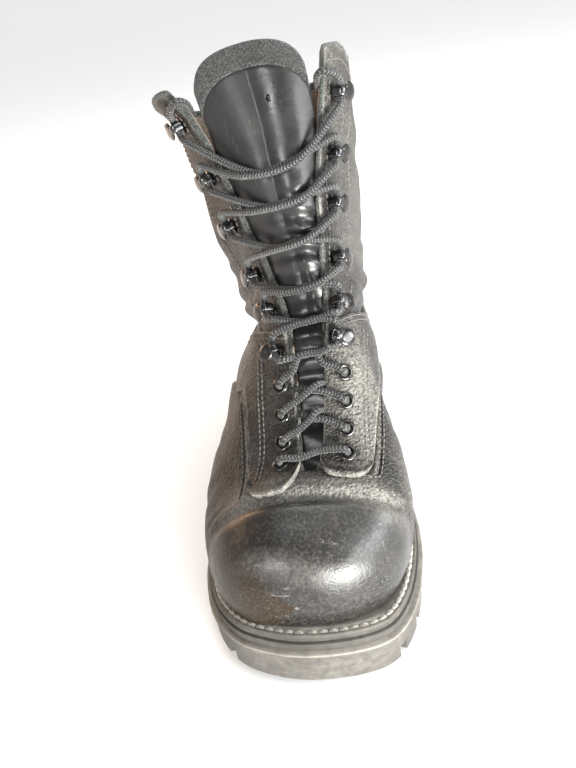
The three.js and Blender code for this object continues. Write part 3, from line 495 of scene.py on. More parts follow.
def tube_faces(rows, sides):
    """Quads round a stack of rings, with the first and the last ring capped."""
    index = np.arange(rows * sides).reshape(rows, sides)
    return grid_faces(index, (False, True)) + [index[0][::-1].tolist(), index[-1].tolist()]


def slab(name, u, angle, low, high, material, has=None, closed_rows=None, edge_drop=0.45,
         attributes=None, edge_wear=1.0):
    """A closed sheet on the form between two lifts, over the grid's present cells."""
    rows, cols = u.shape
    if has is None:
        has = np.ones((rows - 1, cols - 1), bool)
    padded = np.zeros((rows + 1, cols + 1), bool)
    padded[1:-1, 1:-1] = has
    around = padded[:-1, :-1].astype(int) + padded[1:, :-1] + padded[:-1, 1:] + padded[1:, 1:]
    border = around < 4
    seam = np.zeros(rows, bool) if closed_rows is None else closed_rows
    border[seam, 0] = False
    border[seam, -1] = False
    near = np.zeros_like(border)
    near[1:] |= border[:-1]
    near[:-1] |= border[1:]
    near[:, 1:] |= border[:, :-1]
    near[:, :-1] |= border[:, 1:]
    drop = np.where(border, edge_drop, np.where(near, 0.2 * edge_drop, 0.0))
    top = form(u, angle, np.asarray(high) - drop)
    bottom = form(u, angle, np.broadcast_to(low, u.shape))
    points = np.concatenate([top.reshape(-1, 3), bottom.reshape(-1, 3)])
    index = np.arange(rows * cols).reshape(rows, cols)
    under = index + rows * cols
    a, b, c, d = index[:-1, :-1], index[:-1, 1:], index[1:, 1:], index[1:, :-1]
    faces = [np.stack([a, b, c, d], -1)[has], np.stack([a, d, c, b], -1)[has] + rows * cols]

    def wall(mask, p, q):
        i, j = np.nonzero(mask)
        one = (i + p[0], j + p[1])
        two = (i + q[0], j + q[1])
        faces.append(np.stack([index[one], index[two], under[two], under[one]], -1))

    inner = padded[1:-1, 1:-1]
    left_open = inner & ~padded[1:-1, :-2]
    right_open = inner & ~padded[1:-1, 2:]
    if closed_rows is not None:
        left_open[seam[:-1] & seam[1:], 0] = False
        right_open[seam[:-1] & seam[1:], -1] = False
    wall(left_open, (0, 0), (1, 0))
    wall(right_open, (0, 1), (1, 1))
    wall(inner & ~padded[:-2, 1:-1], (0, 0), (0, 1))
    wall(inner & ~padded[2:, 1:-1], (1, 0), (1, 1))
    values = {"edge": np.concatenate([(np.maximum(border, 0.45 * near) * edge_wear).ravel()] * 2)}
    for key, value in (attributes or {}).items():
        values[key] = np.concatenate([np.broadcast_to(value, u.shape).ravel()] * 2)
    return add_mesh(name, points, np.concatenate(faces).tolist(), material, values,
                    weld=closed_rows is not None)


def between(t, start, end, a, b):
    return (end - t) / (end - start) * a + (t - start) / (end - start) * b


def smooth_path(points, spacing):
    """A centripetal curve through the points, sampled evenly."""
    points = np.asarray(points, float)
    first = 2 * points[0] - points[1]
    last = 2 * points[-1] - points[-2]
    ext = np.vstack([first, points, last])
    dense = []
    for k in range(len(points) - 1):
        p = ext[k:k + 4]
        knots = [0.0]
        for j in range(3):
            knots.append(knots[-1] + max(np.linalg.norm(p[j + 1] - p[j]), 1e-6) ** 0.5)
        for t in np.linspace(knots[1], knots[2], 24, endpoint=False):
            a = [between(t, knots[j], knots[j + 1], p[j], p[j + 1]) for j in range(3)]
            b = [between(t, knots[j], knots[j + 2], a[j], a[j + 1]) for j in range(2)]
            dense.append(between(t, knots[1], knots[2], b[0], b[1]))
    dense.append(points[-1])
    return even_path(np.array(dense), spacing)


def lengths_along(path):
    """The way from a path's start to each of its points."""
    return np.concatenate([[0], np.cumsum(np.linalg.norm(np.diff(path, axis=0), axis=1))])


def sample(at, run, points):
    return np.stack([np.interp(at, run, points[:, k]) for k in range(3)], -1)


def even_path(points, spacing):
    run = lengths_along(points)
    count = max(int(round(run[-1] / spacing)), 2)
    return sample(np.linspace(0, run[-1], count + 1), run, points)


def axes_along(path, start):
    """Two axes across the path at each of its points, which don't turn about it."""
    tangent = np.gradient(path, axis=0)
    tangent /= np.linalg.norm(tangent, axis=1, keepdims=True)
    side = np.cross(tangent[0], start)
    if np.linalg.norm(side) < 1e-3:
        side = np.cross(tangent[0], (1.0, 0.0, 0.0))
    side /= np.linalg.norm(side)
    sides = [side]
    for t in tangent[1:]:
        side = side - t * (side @ t)
        side /= np.linalg.norm(side)
        sides.append(side)
    sides = np.array(sides)
    return sides, np.cross(tangent, sides)


def sweep(path, profile, radius_at=None, start=(0.0, 0.0, 1.0)):
    """Points, faces and a (length, turn) coordinate of a profile drawn along a path."""
    side, up = (axis[:, None, :] for axis in axes_along(path, start))
    sides = len(profile)
    middle = path[:, None, :]
    rings = middle + side * profile[None, :, :1] + up * profile[None, :, 1:]
    if radius_at is not None:
        rings = middle + (rings - middle) * radius_at[..., None]
    turn = np.arange(sides)[None, :] / sides
    uv = np.stack(np.broadcast_arrays(lengths_along(path)[:, None], turn), -1).reshape(-1, 2)
    return rings.reshape(-1, 3), tube_faces(len(path), sides), uv


def circle(radius, sides):
    turn = 2 * np.pi * np.arange(sides) / sides
    return radius * np.stack([np.cos(turn), np.sin(turn)], -1)


class Parts:
    """Gathers shapes that become one mesh."""

    def __init__(self):
        self.points = []
        self.faces = []
        self.uv = []
        self.count = 0

    def add(self, points, faces, uv=None):
        points = np.asarray(points, float)
        self.points.append(points)
        self.faces.extend([[i + self.count for i in face] for face in faces])
        self.uv.append(np.zeros((len(points), 2)) if uv is None else uv)
        self.count += len(points)

    def mesh(self, name, material, slot_name):
        points, uv = np.vstack(self.points), np.vstack(self.uv)
        return add_mesh(name, points, self.faces, material, uv=uv)


# Materials

class Shader:
    """Builds one material's nodes by short calls."""

    def __init__(self, name):
        self.material = bpy.data.materials.new(name)
        self.material.use_nodes = True
        self.tree = self.material.node_tree
        self.out = self.tree.nodes["Principled BSDF"]
        self.place = self.tree.nodes.new("ShaderNodeTexCoord").outputs["Object"]

    def node(self, kind, **inputs):
        made = self.tree.nodes.new(kind)
        for key, value in inputs.items():
            self.put(made.inputs[key.replace("_", " ")], value)
        return made

    def put(self, socket, value):
        if isinstance(value, bpy.types.NodeSocket):
            self.tree.links.new(value, socket)
        else:
            socket.default_value = value

    def noise(self, scale, detail=4.0, rough=0.55, place=None):
        made = self.node("ShaderNodeTexNoise", Vector=place or self.place, Scale=scale, Detail=detail,
                         Roughness=rough)
        return made.outputs["Fac"]

    def cells(self, scale, feature="F1", place=None, randomness=1.0):
        made = self.tree.nodes.new("ShaderNodeTexVoronoi")
        made.feature = feature
        self.put(made.inputs["Vector"], place or self.place)
        self.put(made.inputs["Scale"], scale)
        self.put(made.inputs["Randomness"], randomness)
        return made.outputs["Distance"]

    def attribute(self, name):
        made = self.tree.nodes.new("ShaderNodeAttribute")
        made.attribute_name = name
        return made.outputs["Fac"]

    def operator(self, kind, operation, *values):
        made = self.tree.nodes.new(kind)
        made.operation = operation
        for socket, value in zip(made.inputs, values):
            self.put(socket, value)
        return made

    def math(self, operation, a, b=0.0, clamp=False):
        made = self.operator("ShaderNodeMath", operation, a, b)
        made.use_clamp = clamp
        return made.outputs[0]

    def times(self, a, b, clamp=False):
        return self.math("MULTIPLY", a, b, clamp)

    def span(self, value, low, high, to_low=0.0, to_high=1.0):
        made = self.node("ShaderNodeMapRange", Value=value, From_Min=low, From_Max=high, To_Min=to_low,
                         To_Max=to_high)
        return made.outputs["Result"]

    def blend(self, share, a, b):
        made = self.tree.nodes.new("ShaderNodeMix")
        made.data_type = "RGBA"
        self.put(made.inputs[0], share)
        self.put(made.inputs[6], a)
        self.put(made.inputs[7], b)
        return made.outputs[2]

    def layers(self, base, *coats):
        """Lays each (share, colour) over the base in turn."""
        for share, color in coats:
            base = self.blend(share, base, color)
        return base

    def bump(self, height, strength, distance, normal=None):
        made = self.node("ShaderNodeBump", Strength=strength, Distance=distance, Height=height)
        if normal is not None:
            self.put(made.inputs["Normal"], normal)
        return made.outputs["Normal"]

    def stretched(self, *scale):
        return self.node("ShaderNodeMapping", Vector=self.place, Scale=scale).outputs["Vector"]

    def wobbled(self, scale, amount):
        """The place pushed about by noise, so that cells lose their even edges."""
        push = self.node("ShaderNodeTexNoise", Vector=self.place, Scale=scale).outputs["Color"]
        small = self.operator("ShaderNodeVectorMath", "SCALE", push)
        self.put(small.inputs["Scale"], amount)
        return self.operator("ShaderNodeVectorMath", "ADD", self.place, small.outputs[0]).outputs[0]

    def finish(self, color, roughness, normal=None, **others):
        self.put(self.out.inputs["Base Color"], color)
        self.put(self.out.inputs["Roughness"], roughness)
        if normal is not None:
            self.put(self.out.inputs["Normal"], normal)
        for key, value in others.items():
            self.put(self.out.inputs[key.replace("_", " ")], value)
        return self.material


def rgb(r, g, b):
    return (r, g, b, 1.0)


def pebbled_leather():
    """Nearly black grain leather with dust in its hollows and paler, worn places and edges; it also paints
    light: a brown warm reflection on the outer side, a sheen on the inner flap, part of the paleness on the
    ridge beside each flap, and shade in the groove outside it and just above the ankle fold.
    """
    s = Shader("pebbled_leather")
    polish, edge, wear, warm_reflection_paint = (s.attribute(name) for name in ("polish", "edge", "wear", "warm_reflection_paint"))
    cell = s.cells(760.0, place=s.wobbled(420.0, 0.0009))
    pebble = s.span(cell, 0.05, 0.75, 1.0, 0.0)
    valley = s.span(cell, 0.45, 0.8)
    fine = s.noise(260.0, 3.0)
    middle = s.noise(150.0, 4.0)
    dust = s.times(s.span(s.noise(38.0, 5.0), 0.42, 0.72), s.span(fine, 0.35, 0.7))
    dust = s.times(dust, s.span(polish, 0.0, 1.0, 1.0, 0.35))
    # Wear below 0 thins the dust, which paints shade above the ankle fold and in the groove outside each
    # flap
    dust = s.times(dust, s.span(wear, -1.0, 1.0, 0.0, 2.0))
    worn_grain = s.span(s.noise(520.0, 3.0, 0.7), 0.4, 0.62)
    # Pale worn patches from the wear attribute; on the inner flap this paleness is a painted sheen
    pale_wear_and_sheen = s.times(s.span(wear, 0.1, 0.9), s.span(worn_grain, 0.0, 1.0, 0.35, 1.0), True)
    worn_edge = s.times(edge, s.span(middle, 0.38, 0.62))
    base = s.layers(
        s.blend(s.noise(90.0, 3.0), rgb(0.004, 0.0039, 0.0037), rgb(0.012, 0.0112, 0.0105)),
        (s.times(valley, 0.4), rgb(0.06, 0.055, 0.048)),
        (s.times(dust, 0.5, True), rgb(0.125, 0.114, 0.096)),
        (s.times(pale_wear_and_sheen, 0.7), rgb(0.21, 0.20, 0.18)),
        # Brown tint on the outer side: a painted warm reflection; specular and coat are lowered there too
        (s.times(warm_reflection_paint, 0.27), rgb(0.055, 0.031, 0.013)),
        (s.times(worn_edge, 0.65), rgb(0.30, 0.29, 0.26)),
        (s.times(scuffs(s), s.span(polish, 0.0, 1.0, 0.1, 0.5)), rgb(0.28, 0.27, 0.25)),
    )
    rough = s.math("ADD", s.span(fine, 0.3, 0.7, 0.34, 0.5), s.times(pale_wear_and_sheen, 0.12))
    rough = s.math("SUBTRACT", rough, s.times(polish, 0.07))
    height = s.times(pebble, s.span(polish, 0.0, 1.0, 1.0, 0.12))
    normal = s.bump(middle, 0.3, 0.0006, s.bump(height, 0.9, 0.00055))
    shine = s.span(warm_reflection_paint, 0.0, 1.0, 0.3, 0.13)
    coat = s.times(polish, s.span(warm_reflection_paint, 0.0, 0.6, 0.4, 0.1))
    return s.finish(base, rough, normal, Specular_IOR_Level=shine, Coat_Weight=coat, Coat_Roughness=0.34)


def scuffs(s):
    """Short thin scratches in two directions, 0 to 1."""
    marks = []
    for scale in ((90.0, 900.0, 500.0), (700.0, 120.0, 800.0)):
        marks.append(s.span(s.noise(1.0, 2.0, 0.5, s.stretched(*scale)), 0.66, 0.74))
    patches = s.span(s.noise(45.0, 2.0), 0.45, 0.62)
    return s.times(s.math("MAXIMUM", marks[0], marks[1]), patches)


def smooth_leather():
    s = Shader("smooth_leather")
    broad = s.noise(60.0, 4.0)
    streak = s.noise(1.0, 3.0, 0.5, s.stretched(900.0, 900.0, 45.0))
    wrinkle = s.noise(1.0, 4.0, 0.6, s.stretched(120.0, 160.0, 420.0))
    base = s.layers(
        s.blend(broad, rgb(0.004, 0.004, 0.0043), rgb(0.014, 0.0135, 0.013)),
        (s.span(streak, 0.62, 0.8, 0.0, 0.35), rgb(0.12, 0.11, 0.1)),
        (s.times(s.attribute("edge"), 0.3), rgb(0.08, 0.075, 0.07)),
    )
    rough = s.math("SUBTRACT", s.span(broad, 0.3, 0.7, 0.37, 0.5), s.times(s.attribute("polish"), 0.13))
    normal = s.bump(s.noise(420.0, 3.0), 0.12, 0.0002, s.bump(wrinkle, 0.28, 0.0006))
    return s.finish(base, rough, normal, Specular_IOR_Level=0.5)


def textile(name, dark, light, scale, strength=0.5, randomness=1.0):
    """A knitted or woven cloth with a fine mesh."""
    s = Shader(name)
    weave = s.span(s.cells(scale, randomness=randomness), 0.1, 0.6, 1.0, 0.0)
    base = s.blend(weave, dark, light)
    base = s.blend(s.span(s.noise(60.0, 4.0), 0.4, 0.7, 0.0, 0.35), base, dark)
    return s.finish(base, 0.9, s.bump(weave, strength, 0.0004), Sheen_Weight=0.2)


def rubber_material(name, base_color, dusty, dust_amount):
    s = Shader(name)
    fine = s.noise(300.0, 4.0)
    dust = s.times(s.span(s.noise(28.0, 5.0), 0.32, 0.7), s.span(fine, 0.25, 0.75))
    streak = s.noise(1.0, 3.0, 0.5, s.stretched(160.0, 160.0, 900.0))
    caked = s.times(s.attribute("dusty"), s.span(s.noise(170.0, 4.0), 0.3, 0.62, 0.4, 1.0))
    base = s.layers(
        base_color,
        (s.times(dust, dust_amount), dusty),
        (s.span(streak, 0.62, 0.76, 0.0, 0.5), dusty),
        (s.span(s.noise(70.0, 3.0), 0.62, 0.78, 0.0, 0.5), rgb(0.02, 0.018, 0.016)),
        (caked, rgb(0.4, 0.375, 0.325)),
    )
    normal = s.bump(s.noise(1200.0, 2.0), 0.3, 0.0002, s.bump(s.noise(90.0, 5.0), 0.35, 0.0009))
    return s.finish(base, s.span(fine, 0.3, 0.7, 0.62, 0.85), normal)


def thread(name, dark, light):
    s = Shader(name)
    grain = s.noise(900.0, 2.0)
    return s.finish(s.blend(grain, dark, light), 0.8, s.bump(grain, 0.5, 0.0002))


def metal(name, color, metallic=1.0):
    s = Shader(name)
    wear = s.noise(420.0, 4.0)
    base = s.blend(s.span(wear, 0.55, 0.75), color, rgb(0.24, 0.22, 0.2))
    rough = s.span(s.noise(130.0, 2.0), 0.3, 0.7, 0.14, 0.28)
    return s.finish(base, rough, s.bump(wear, 0.08, 0.0002), Metallic=metallic)


def lace_material():
    """Black braid with pale threads, from the (length, turn) coordinate of the cord."""
    s = Shader("lace_braid")
    coordinate = s.tree.nodes.new("ShaderNodeTexCoord").outputs["UV"]
    split = s.node("ShaderNodeSeparateXYZ", Vector=coordinate)
    length = s.times(split.outputs["X"], 2 * math.pi / 1.5)
    wedge = s.math("PINGPONG", s.times(split.outputs["Y"], 8.0), 1.0)
    chevron = s.math("SINE", s.math("ADD", length, s.times(wedge, 3.4)))
    pale = s.times(s.span(chevron, 0.45, 0.85), s.span(wedge, 0.12, 0.4))
    grain = s.noise(1500.0, 2.0)
    pale = s.times(pale, s.span(grain, 0.3, 0.6, 0.3, 1.0))
    base = s.blend(pale, rgb(0.003, 0.0032, 0.0032), rgb(0.12, 0.123, 0.12))
    return s.finish(base, 0.6, s.bump(chevron, 0.7, 0.0003), Sheen_Weight=0.15)


LEATHER = pebbled_leather()
TONGUE_LEATHER = smooth_leather()
RUBBER = rubber_material("outsole_rubber", rgb(0.05, 0.046, 0.04), rgb(0.2, 0.187, 0.166), 0.75)
WELT_RUBBER = rubber_material("welt_rubber", rgb(0.03, 0.027, 0.023), rgb(0.125, 0.115, 0.1), 0.6)
LINING = textile("beige_mesh_lining", rgb(0.17, 0.12, 0.085), rgb(0.42, 0.33, 0.25), 640.0)
BAND_CLOTH = textile("grey_band_cloth", rgb(0.011, 0.0115, 0.011), rgb(0.062, 0.064, 0.06), 1250.0, 1.0)
BINDING_CLOTH = textile("binding_cloth", rgb(0.016, 0.018, 0.016), rgb(0.12, 0.128, 0.112), 1500.0, 0.9)
INSOLE_CLOTH = textile("insole_cloth", rgb(0.1, 0.075, 0.05), rgb(0.24, 0.18, 0.12), 500.0, 0.5, 0.35)
BLACK_THREAD = thread("black_thread", rgb(0.02, 0.02, 0.02), rgb(0.2, 0.19, 0.175))
PALE_THREAD = thread("pale_thread", rgb(0.17, 0.155, 0.13), rgb(0.56, 0.53, 0.47))
BRIGHT_METAL = metal("bright_metal", rgb(0.075, 0.075, 0.078))
DARK_METAL = metal("dark_metal", rgb(0.055, 0.053, 0.052), 0.9)
LACE = lace_material()


# The upper

FIRST_GUESS_U = 8
GUESSES = 6
VAMP_EDGE_RISE = 3.2
VAMP_BELOW_FEATHER = 3.0
SHAFT_OVERLAP = 0.5
BACK_SEAM_DEPTH = 0.7
LINING_THICKNESS = 1.0
LINING_FOOT = 6.0
BINDING_RADIUS = 1.5


def throat_angles(u):
    """Angles of the two edges of the opening, zero below its foot."""
    open_here = u >= THROAT_TABLE[0, 0]
    return [np.where(open_here, angle_across(u, throat_edge(u, side)), 0.0) for side in (-1, 1)]


def unit_grid(rows, cols):
    return np.meshgrid(np.linspace(0, 1, rows), np.linspace(0, 1, cols), indexing="ij")


def round_grid(u_of_angle, rows, cols):
    """u and the angle on a grid that runs from the outer edge of the opening round the back."""
    a, b = unit_grid(rows, cols)

    def angle_of(u):
        outer, inner = throat_angles(u)
        return outer - (2 * np.pi + outer - inner) * b

    u = a * FIRST_GUESS_U
    for _ in range(GUESSES):
        u = u_of_angle(a, angle_of(u))
    return u, angle_of(u)


# Paler, dustier places, and on the flap and the shaft some painted sheen and painted shade: u, degrees,
# reach in u, reach in degrees, amount; less than 0 is darker
VAMP_WEAR = [
    [1.55, -5, 0.75, 36, 0.25],
    [1.2, 30, 0.5, 25, 0.2],
    [2.2, -45, 0.5, 30, 0.4],
    [3.9, -20, 0.34, 48, 1.0],
    [3.95, 38, 0.45, 34, 0.85],
    [4.3, -35, 0.5, 18, 0.6],
    [2.95, 0, 0.4, 45, -0.8],
    [0.3, 90, 0.35, 60, -0.7],
    [0.3, -90, 0.5, 60, -0.7],
    [1.5, -80, 0.5, 18, -0.8],
    [5.2, 75, 0.8, 25, 0.5],
    [7.9, -60, 0.4, 40, 0.5],
    [7.9, 70, 0.4, 40, 0.5],
]
FLAP_WEAR_AND_SHEEN = [
    [4.0, -20, 0.3, 25, 0.6],
    [5.5, -42, 2.5, 4, 0.9],
    [5.5, 38, 2.5, 10, 0.9],
    # Painted sheen: a broad pale patch over the inner flap
    [6.0, 28, 2.2, 16, 0.9],
    [5.0, 20, 0.6, 12, -0.5],
    [10.5, 100, 1.5, 40, 0.3],
]
SHAFT_WEAR_AND_SHADE = [
    [14.0, 60, 3.5, 30, 0.45],
    [17.5, 45, 1.5, 20, 0.4],
    # Painted shade: darker just above the ankle fold, on both sides
    [11.0, 65, 0.8, 30, -0.6],
    [11.0, -65, 0.8, 30, -0.6],
    [13.0, -75, 2.0, 30, 0.3],
    [18.8, 180, 0.4, 150, 0.4],
]


def wear_and_painted_light_at(u, angle, patches):
    degrees = signed_degrees(angle)
    total = np.zeros(np.broadcast(u, degrees).shape)
    for at, centre, reach_u, reach_degrees, amount in patches:
        turn = signed_degrees(np.radians(degrees - centre))
        total += amount * gauss((u - at) / reach_u) * gauss(turn / reach_degrees)
    return np.clip(total, -1, 1)


def painted_warm_reflection(u, angle):
    """Painted warm reflection: a brown tint on the outer side, full from 70 to 130 degrees from the front,
    at every height.
    """
    degrees = signed_degrees(angle)
    return side_window(-degrees, 25, 70, 130, 170) * np.ones_like(u)


def vamp_top(angle):
    """The vamp's upper edge, rounded down where it meets each flap."""
    signed = signed_degrees(angle)
    degrees, meets = np.abs(signed), flap_meets(signed)
    away = np.clip((degrees - meets) / 8.0, 0, 1)
    under_flap = 1 - smoothstep(meets - 12, meets - 4, degrees)
    corner = 1 - np.sqrt(np.maximum(1 - (1 - away) ** 2, 0))
    return wing_edge(angle, 1) + 0.3 - np.where(signed < 0, 0.5, 0.3) * corner * (1 - under_flap)


def flap_meets(signed):
    """Degrees from the front where the vamp's upper edge comes out from under the flap."""
    return np.where(signed < 0, 45.0, 59.0)


def vamp():
    u, angle = round_grid(lambda a, t: a * vamp_top(t), 215, 215)
    skin = form(u, angle)
    signed = signed_degrees(angle)
    degrees, meets = np.abs(signed), flap_meets(signed)
    # Its upper edge stands out beyond the flap, and its toe part carries the polish
    shown = smoothstep(meets + 1, meets + 18, degrees)
    proud = VAMP_EDGE_RISE * (1 - smoothstep(0.0, 1.25, vamp_top(angle) - u)) * shown
    keep = skin[..., 2] > feather_height(skin[..., 1]) - VAMP_BELOW_FEATHER
    has = keep[:-1, :-1] | keep[1:, :-1] | keep[:-1, 1:] | keep[1:, 1:]
    closed = u[:, 0] < THROAT_TABLE[0, 0]
    cap_edge = np.minimum(crease_line(signed, *CREASES[0][:3]), 4.3)
    # The ridge beside each flap is painted paler, part wear and part painted highlight, and the groove
    # outside it darker, a painted shade
    wear = wear_and_painted_light_at(u, angle, VAMP_WEAR) + 0.5 * flap_ridge(u, angle)
    looks = {"polish": 1 - smoothstep(-0.35, 0.12, u - cap_edge), "wear": wear, "warm_reflection_paint": painted_warm_reflection(u, angle)}
    high = leather_relief(u, angle, skin) + proud
    piece = slab("vamp", u, angle, -UPPER_WALL, high, LEATHER, has, closed, attributes=looks)
    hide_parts("upper")


def flare_under(u, angle):
    """How far the outer front corner of the collar folds outward, on its inner face."""
    degrees = signed_degrees(angle)
    return COLLAR_FLARE * smoothstep(COLLAR_U - 0.9, COLLAR_U, u) * side_window(-degrees, 30, 62, 70, 105)


def shaft():
    def u_of(a, t):
        low = wing_edge(t, 1) - SHAFT_OVERLAP
        return low + (collar_at(t) - low) * a

    u, angle = round_grid(u_of, 190, 215)
    fold = ankle_fold(u, angle)
    back_seam = gauss((np.abs(angle) - np.pi) / 0.03)
    relief = shaft_relief(u, angle, form(u, angle)) + fold - BACK_SEAM_DEPTH * back_seam
    low = fold + flare_under(u, angle) - UPPER_WALL
    looks = {"polish": 0.0, "wear": wear_and_painted_light_at(u, angle, SHAFT_WEAR_AND_SHADE), "warm_reflection_paint": painted_warm_reflection(u, angle)}
    piece = slab("shaft", u, angle, low, relief, LEATHER, attributes=looks)
    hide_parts("upper")


def shaft_lining():
    u, angle = round_grid(lambda a, t: LINING_FOOT + (collar_at(t) - 0.06 - LINING_FOOT) * a, 70, 90)
    face = ankle_fold(u, angle) + flare_under(u, angle) - UPPER_WALL
    slab("shaft_lining", u, angle, face - LINING_THICKNESS, face - 0.05, LINING,
         edge_drop=0.2)


def collar_binding():
    """A rolled edge up one side of the opening, round the collar and down the other side."""
    inside = UPPER_WALL / 2
    outer, inner = (float(v) for v in throat_angles(np.array(COLLAR_U - 0.02)))
    turn = np.linspace(outer, outer - (2 * np.pi + outer - inner), 160)
    at_rim = collar_at(turn)
    rim = form(at_rim + 0.03, turn, flare_under(at_rim, turn) - inside)
    edges = []
    for side in (-1, 1):
        u = np.linspace(8.3, COLLAR_U - 0.1, 60)
        turned = angle_across(u, throat_edge(u, side))
        edges.append(form(u, turned, flare_under(u, turned) + ankle_fold(u, turned) - inside))
    path = smooth_path(even_path(np.vstack([edges[0], rim, edges[1][::-1]]), 3.0), 1.0)
    wide = 1.0 - 0.35 * smoothstep(2, 8, path[:, 0]) * (1 - smoothstep(0, 14, path[:, 1]))
    profile = circle(BINDING_RADIUS, 12)
    parts = Parts()
    parts.add(*sweep(path, profile, wide[:, None] * np.ones((1, len(profile)))))
    parts.mesh("collar_binding", BINDING_CLOTH, "insole_textile")


QUARTER_HIGH = GAP + FACET_ALLOWANCE + 0.15 + OVERLAY_THICKNESS
QUARTER_UNDER = 0.35
QUARTER_THINNEST = 0.7
THROAT_EDGE_CLEAR = 0.4
FLAP_COLS = 44
ANKLE_COLS = 150
FLAP_ROWS = 74
BAND_ROWS = 40
ROW_MM = 1.1
COL_MM = 0.55


def quarter_grid(side):
    """u and the angle of one overlay: the flap's rows, then those of the band round the ankle."""
    front, corner, front_x, back_x = FLAPS[side]
    flap_top = WING_TABLE[0, 1]

    def across(u, b):
        inside = np.abs(throat_edge(np.maximum(u, THROAT_TABLE[1, 0]), side)) + THROAT_EDGE_CLEAR
        rise = np.minimum(u - front, flap_top - front) / (flap_top - front)
        outside = front_x + (back_x - front_x) * rise
        return angle_across(u, side * (inside + (outside - inside) * b))

    first, last = (float(np.abs(across(flap_top, b))) for b in (0.0, 1.0))
    back = math.pi - 0.15 / BAND_ROWS
    j = np.arange(FLAP_COLS + ANKLE_COLS + 1)
    on_flap = j <= FLAP_COLS
    b = np.minimum(j / FLAP_COLS, 1.0)
    ahead = side * (last + (back - last) * (j - FLAP_COLS) / ANKLE_COLS)
    start = front + corner * (1 - np.sqrt(np.maximum(0, 1 - np.abs(2 * b - 1) ** 3)))
    t = np.where(on_flap, across(np.full(len(j), flap_top), b), ahead)
    share = (np.abs(t) - first) / (last - first)
    low, high = wing_edge(t, 1), wing_edge(t, 2)
    rows = []
    for i in range(FLAP_ROWS):
        u = start + (flap_top - start) * i / FLAP_ROWS
        rows.append((u, np.where(on_flap, across(u, b), ahead)))
    for i in range(BAND_ROWS + 1):
        u = low + (high - low) * i / BAND_ROWS
        inside = np.abs(across(u, 0.0))
        rows.append((u, np.where(on_flap, side * (inside + (last - inside) * share), t)))
    return [np.array(grid) for grid in zip(*rows)]


def quarter(side, name):
    u, angle = quarter_grid(side)
    row, col = np.arange(u.shape[0])[:, None], np.arange(u.shape[1])[None, :]
    has = (row[:-1] >= FLAP_ROWS) | (col[:, :-1] < FLAP_COLS)
    skin = form(u, angle)
    degrees = np.degrees(np.abs(angle))
    relief = 0.35 * soft_noise(skin, 22, 9.4) + 0.12 * soft_noise(skin, 8, 2.2)
    from_front = row * ROW_MM
    front_edge = 0.9 * gauss(from_front / 3.0) - 0.8 * gauss((from_front - 5.0) / 1.1)
    side_edge = 0.8 * gauss(np.abs(col - FLAP_COLS) * COL_MM / 1.6)
    relief += front_edge * (col < FLAP_COLS) + side_edge * (row < FLAP_ROWS)
    tucked = 1.4 * smoothstep(48, 62, degrees) * gauss((u - wing_edge(angle, 1)) / 0.6)
    fold = ankle_fold(u, angle)
    high = np.maximum(QUARTER_HIGH + relief - tucked, QUARTER_UNDER + QUARTER_THINNEST) + fold
    looks = {"polish": 0.0, "wear": wear_and_painted_light_at(u, angle, FLAP_WEAR_AND_SHEEN), "warm_reflection_paint": painted_warm_reflection(u, angle)}
    piece = slab(name + "_leather", u, angle, QUARTER_UNDER + fold, high, LEATHER, has,
                 attributes=looks, edge_drop=0.5, edge_wear=1 - 0.75 * smoothstep(60, 150, degrees))
    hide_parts(name)


# The tongue

TONGUE_LIFT = -UPPER_WALL - GAP - FACET_ALLOWANCE - 0.3
TONGUE_FOOT = 4.25
TONGUE_CORNER = 1.35


TONGUE_ROWS = 260
TONGUE_COLS = 100
TONGUE_BAND_ROW = 245
TONGUE_HOLE = (0.885, 0.62)


def tongue_place(a, b):
    across = 2 * b - 1
    step = SECTIONS[-2][3] - SECTIONS[-3][3]
    top = COLLAR_U + TONGUE_RISE / step
    corner = TONGUE_CORNER * (1 - np.sqrt(np.maximum(0, 1 - across**2)))
    u = TONGUE_FOOT + (top - corner - TONGUE_FOOT) * a
    half = TONGUE_HALF_WIDTH * (0.6 + 0.24 * smoothstep(4.4, 8, u) + 0.16 * smoothstep(9, 16, u))
    middle = (throat_edge(u, 1) + throat_edge(u, -1)) / 2
    return u, angle_across(u, middle + across * half)


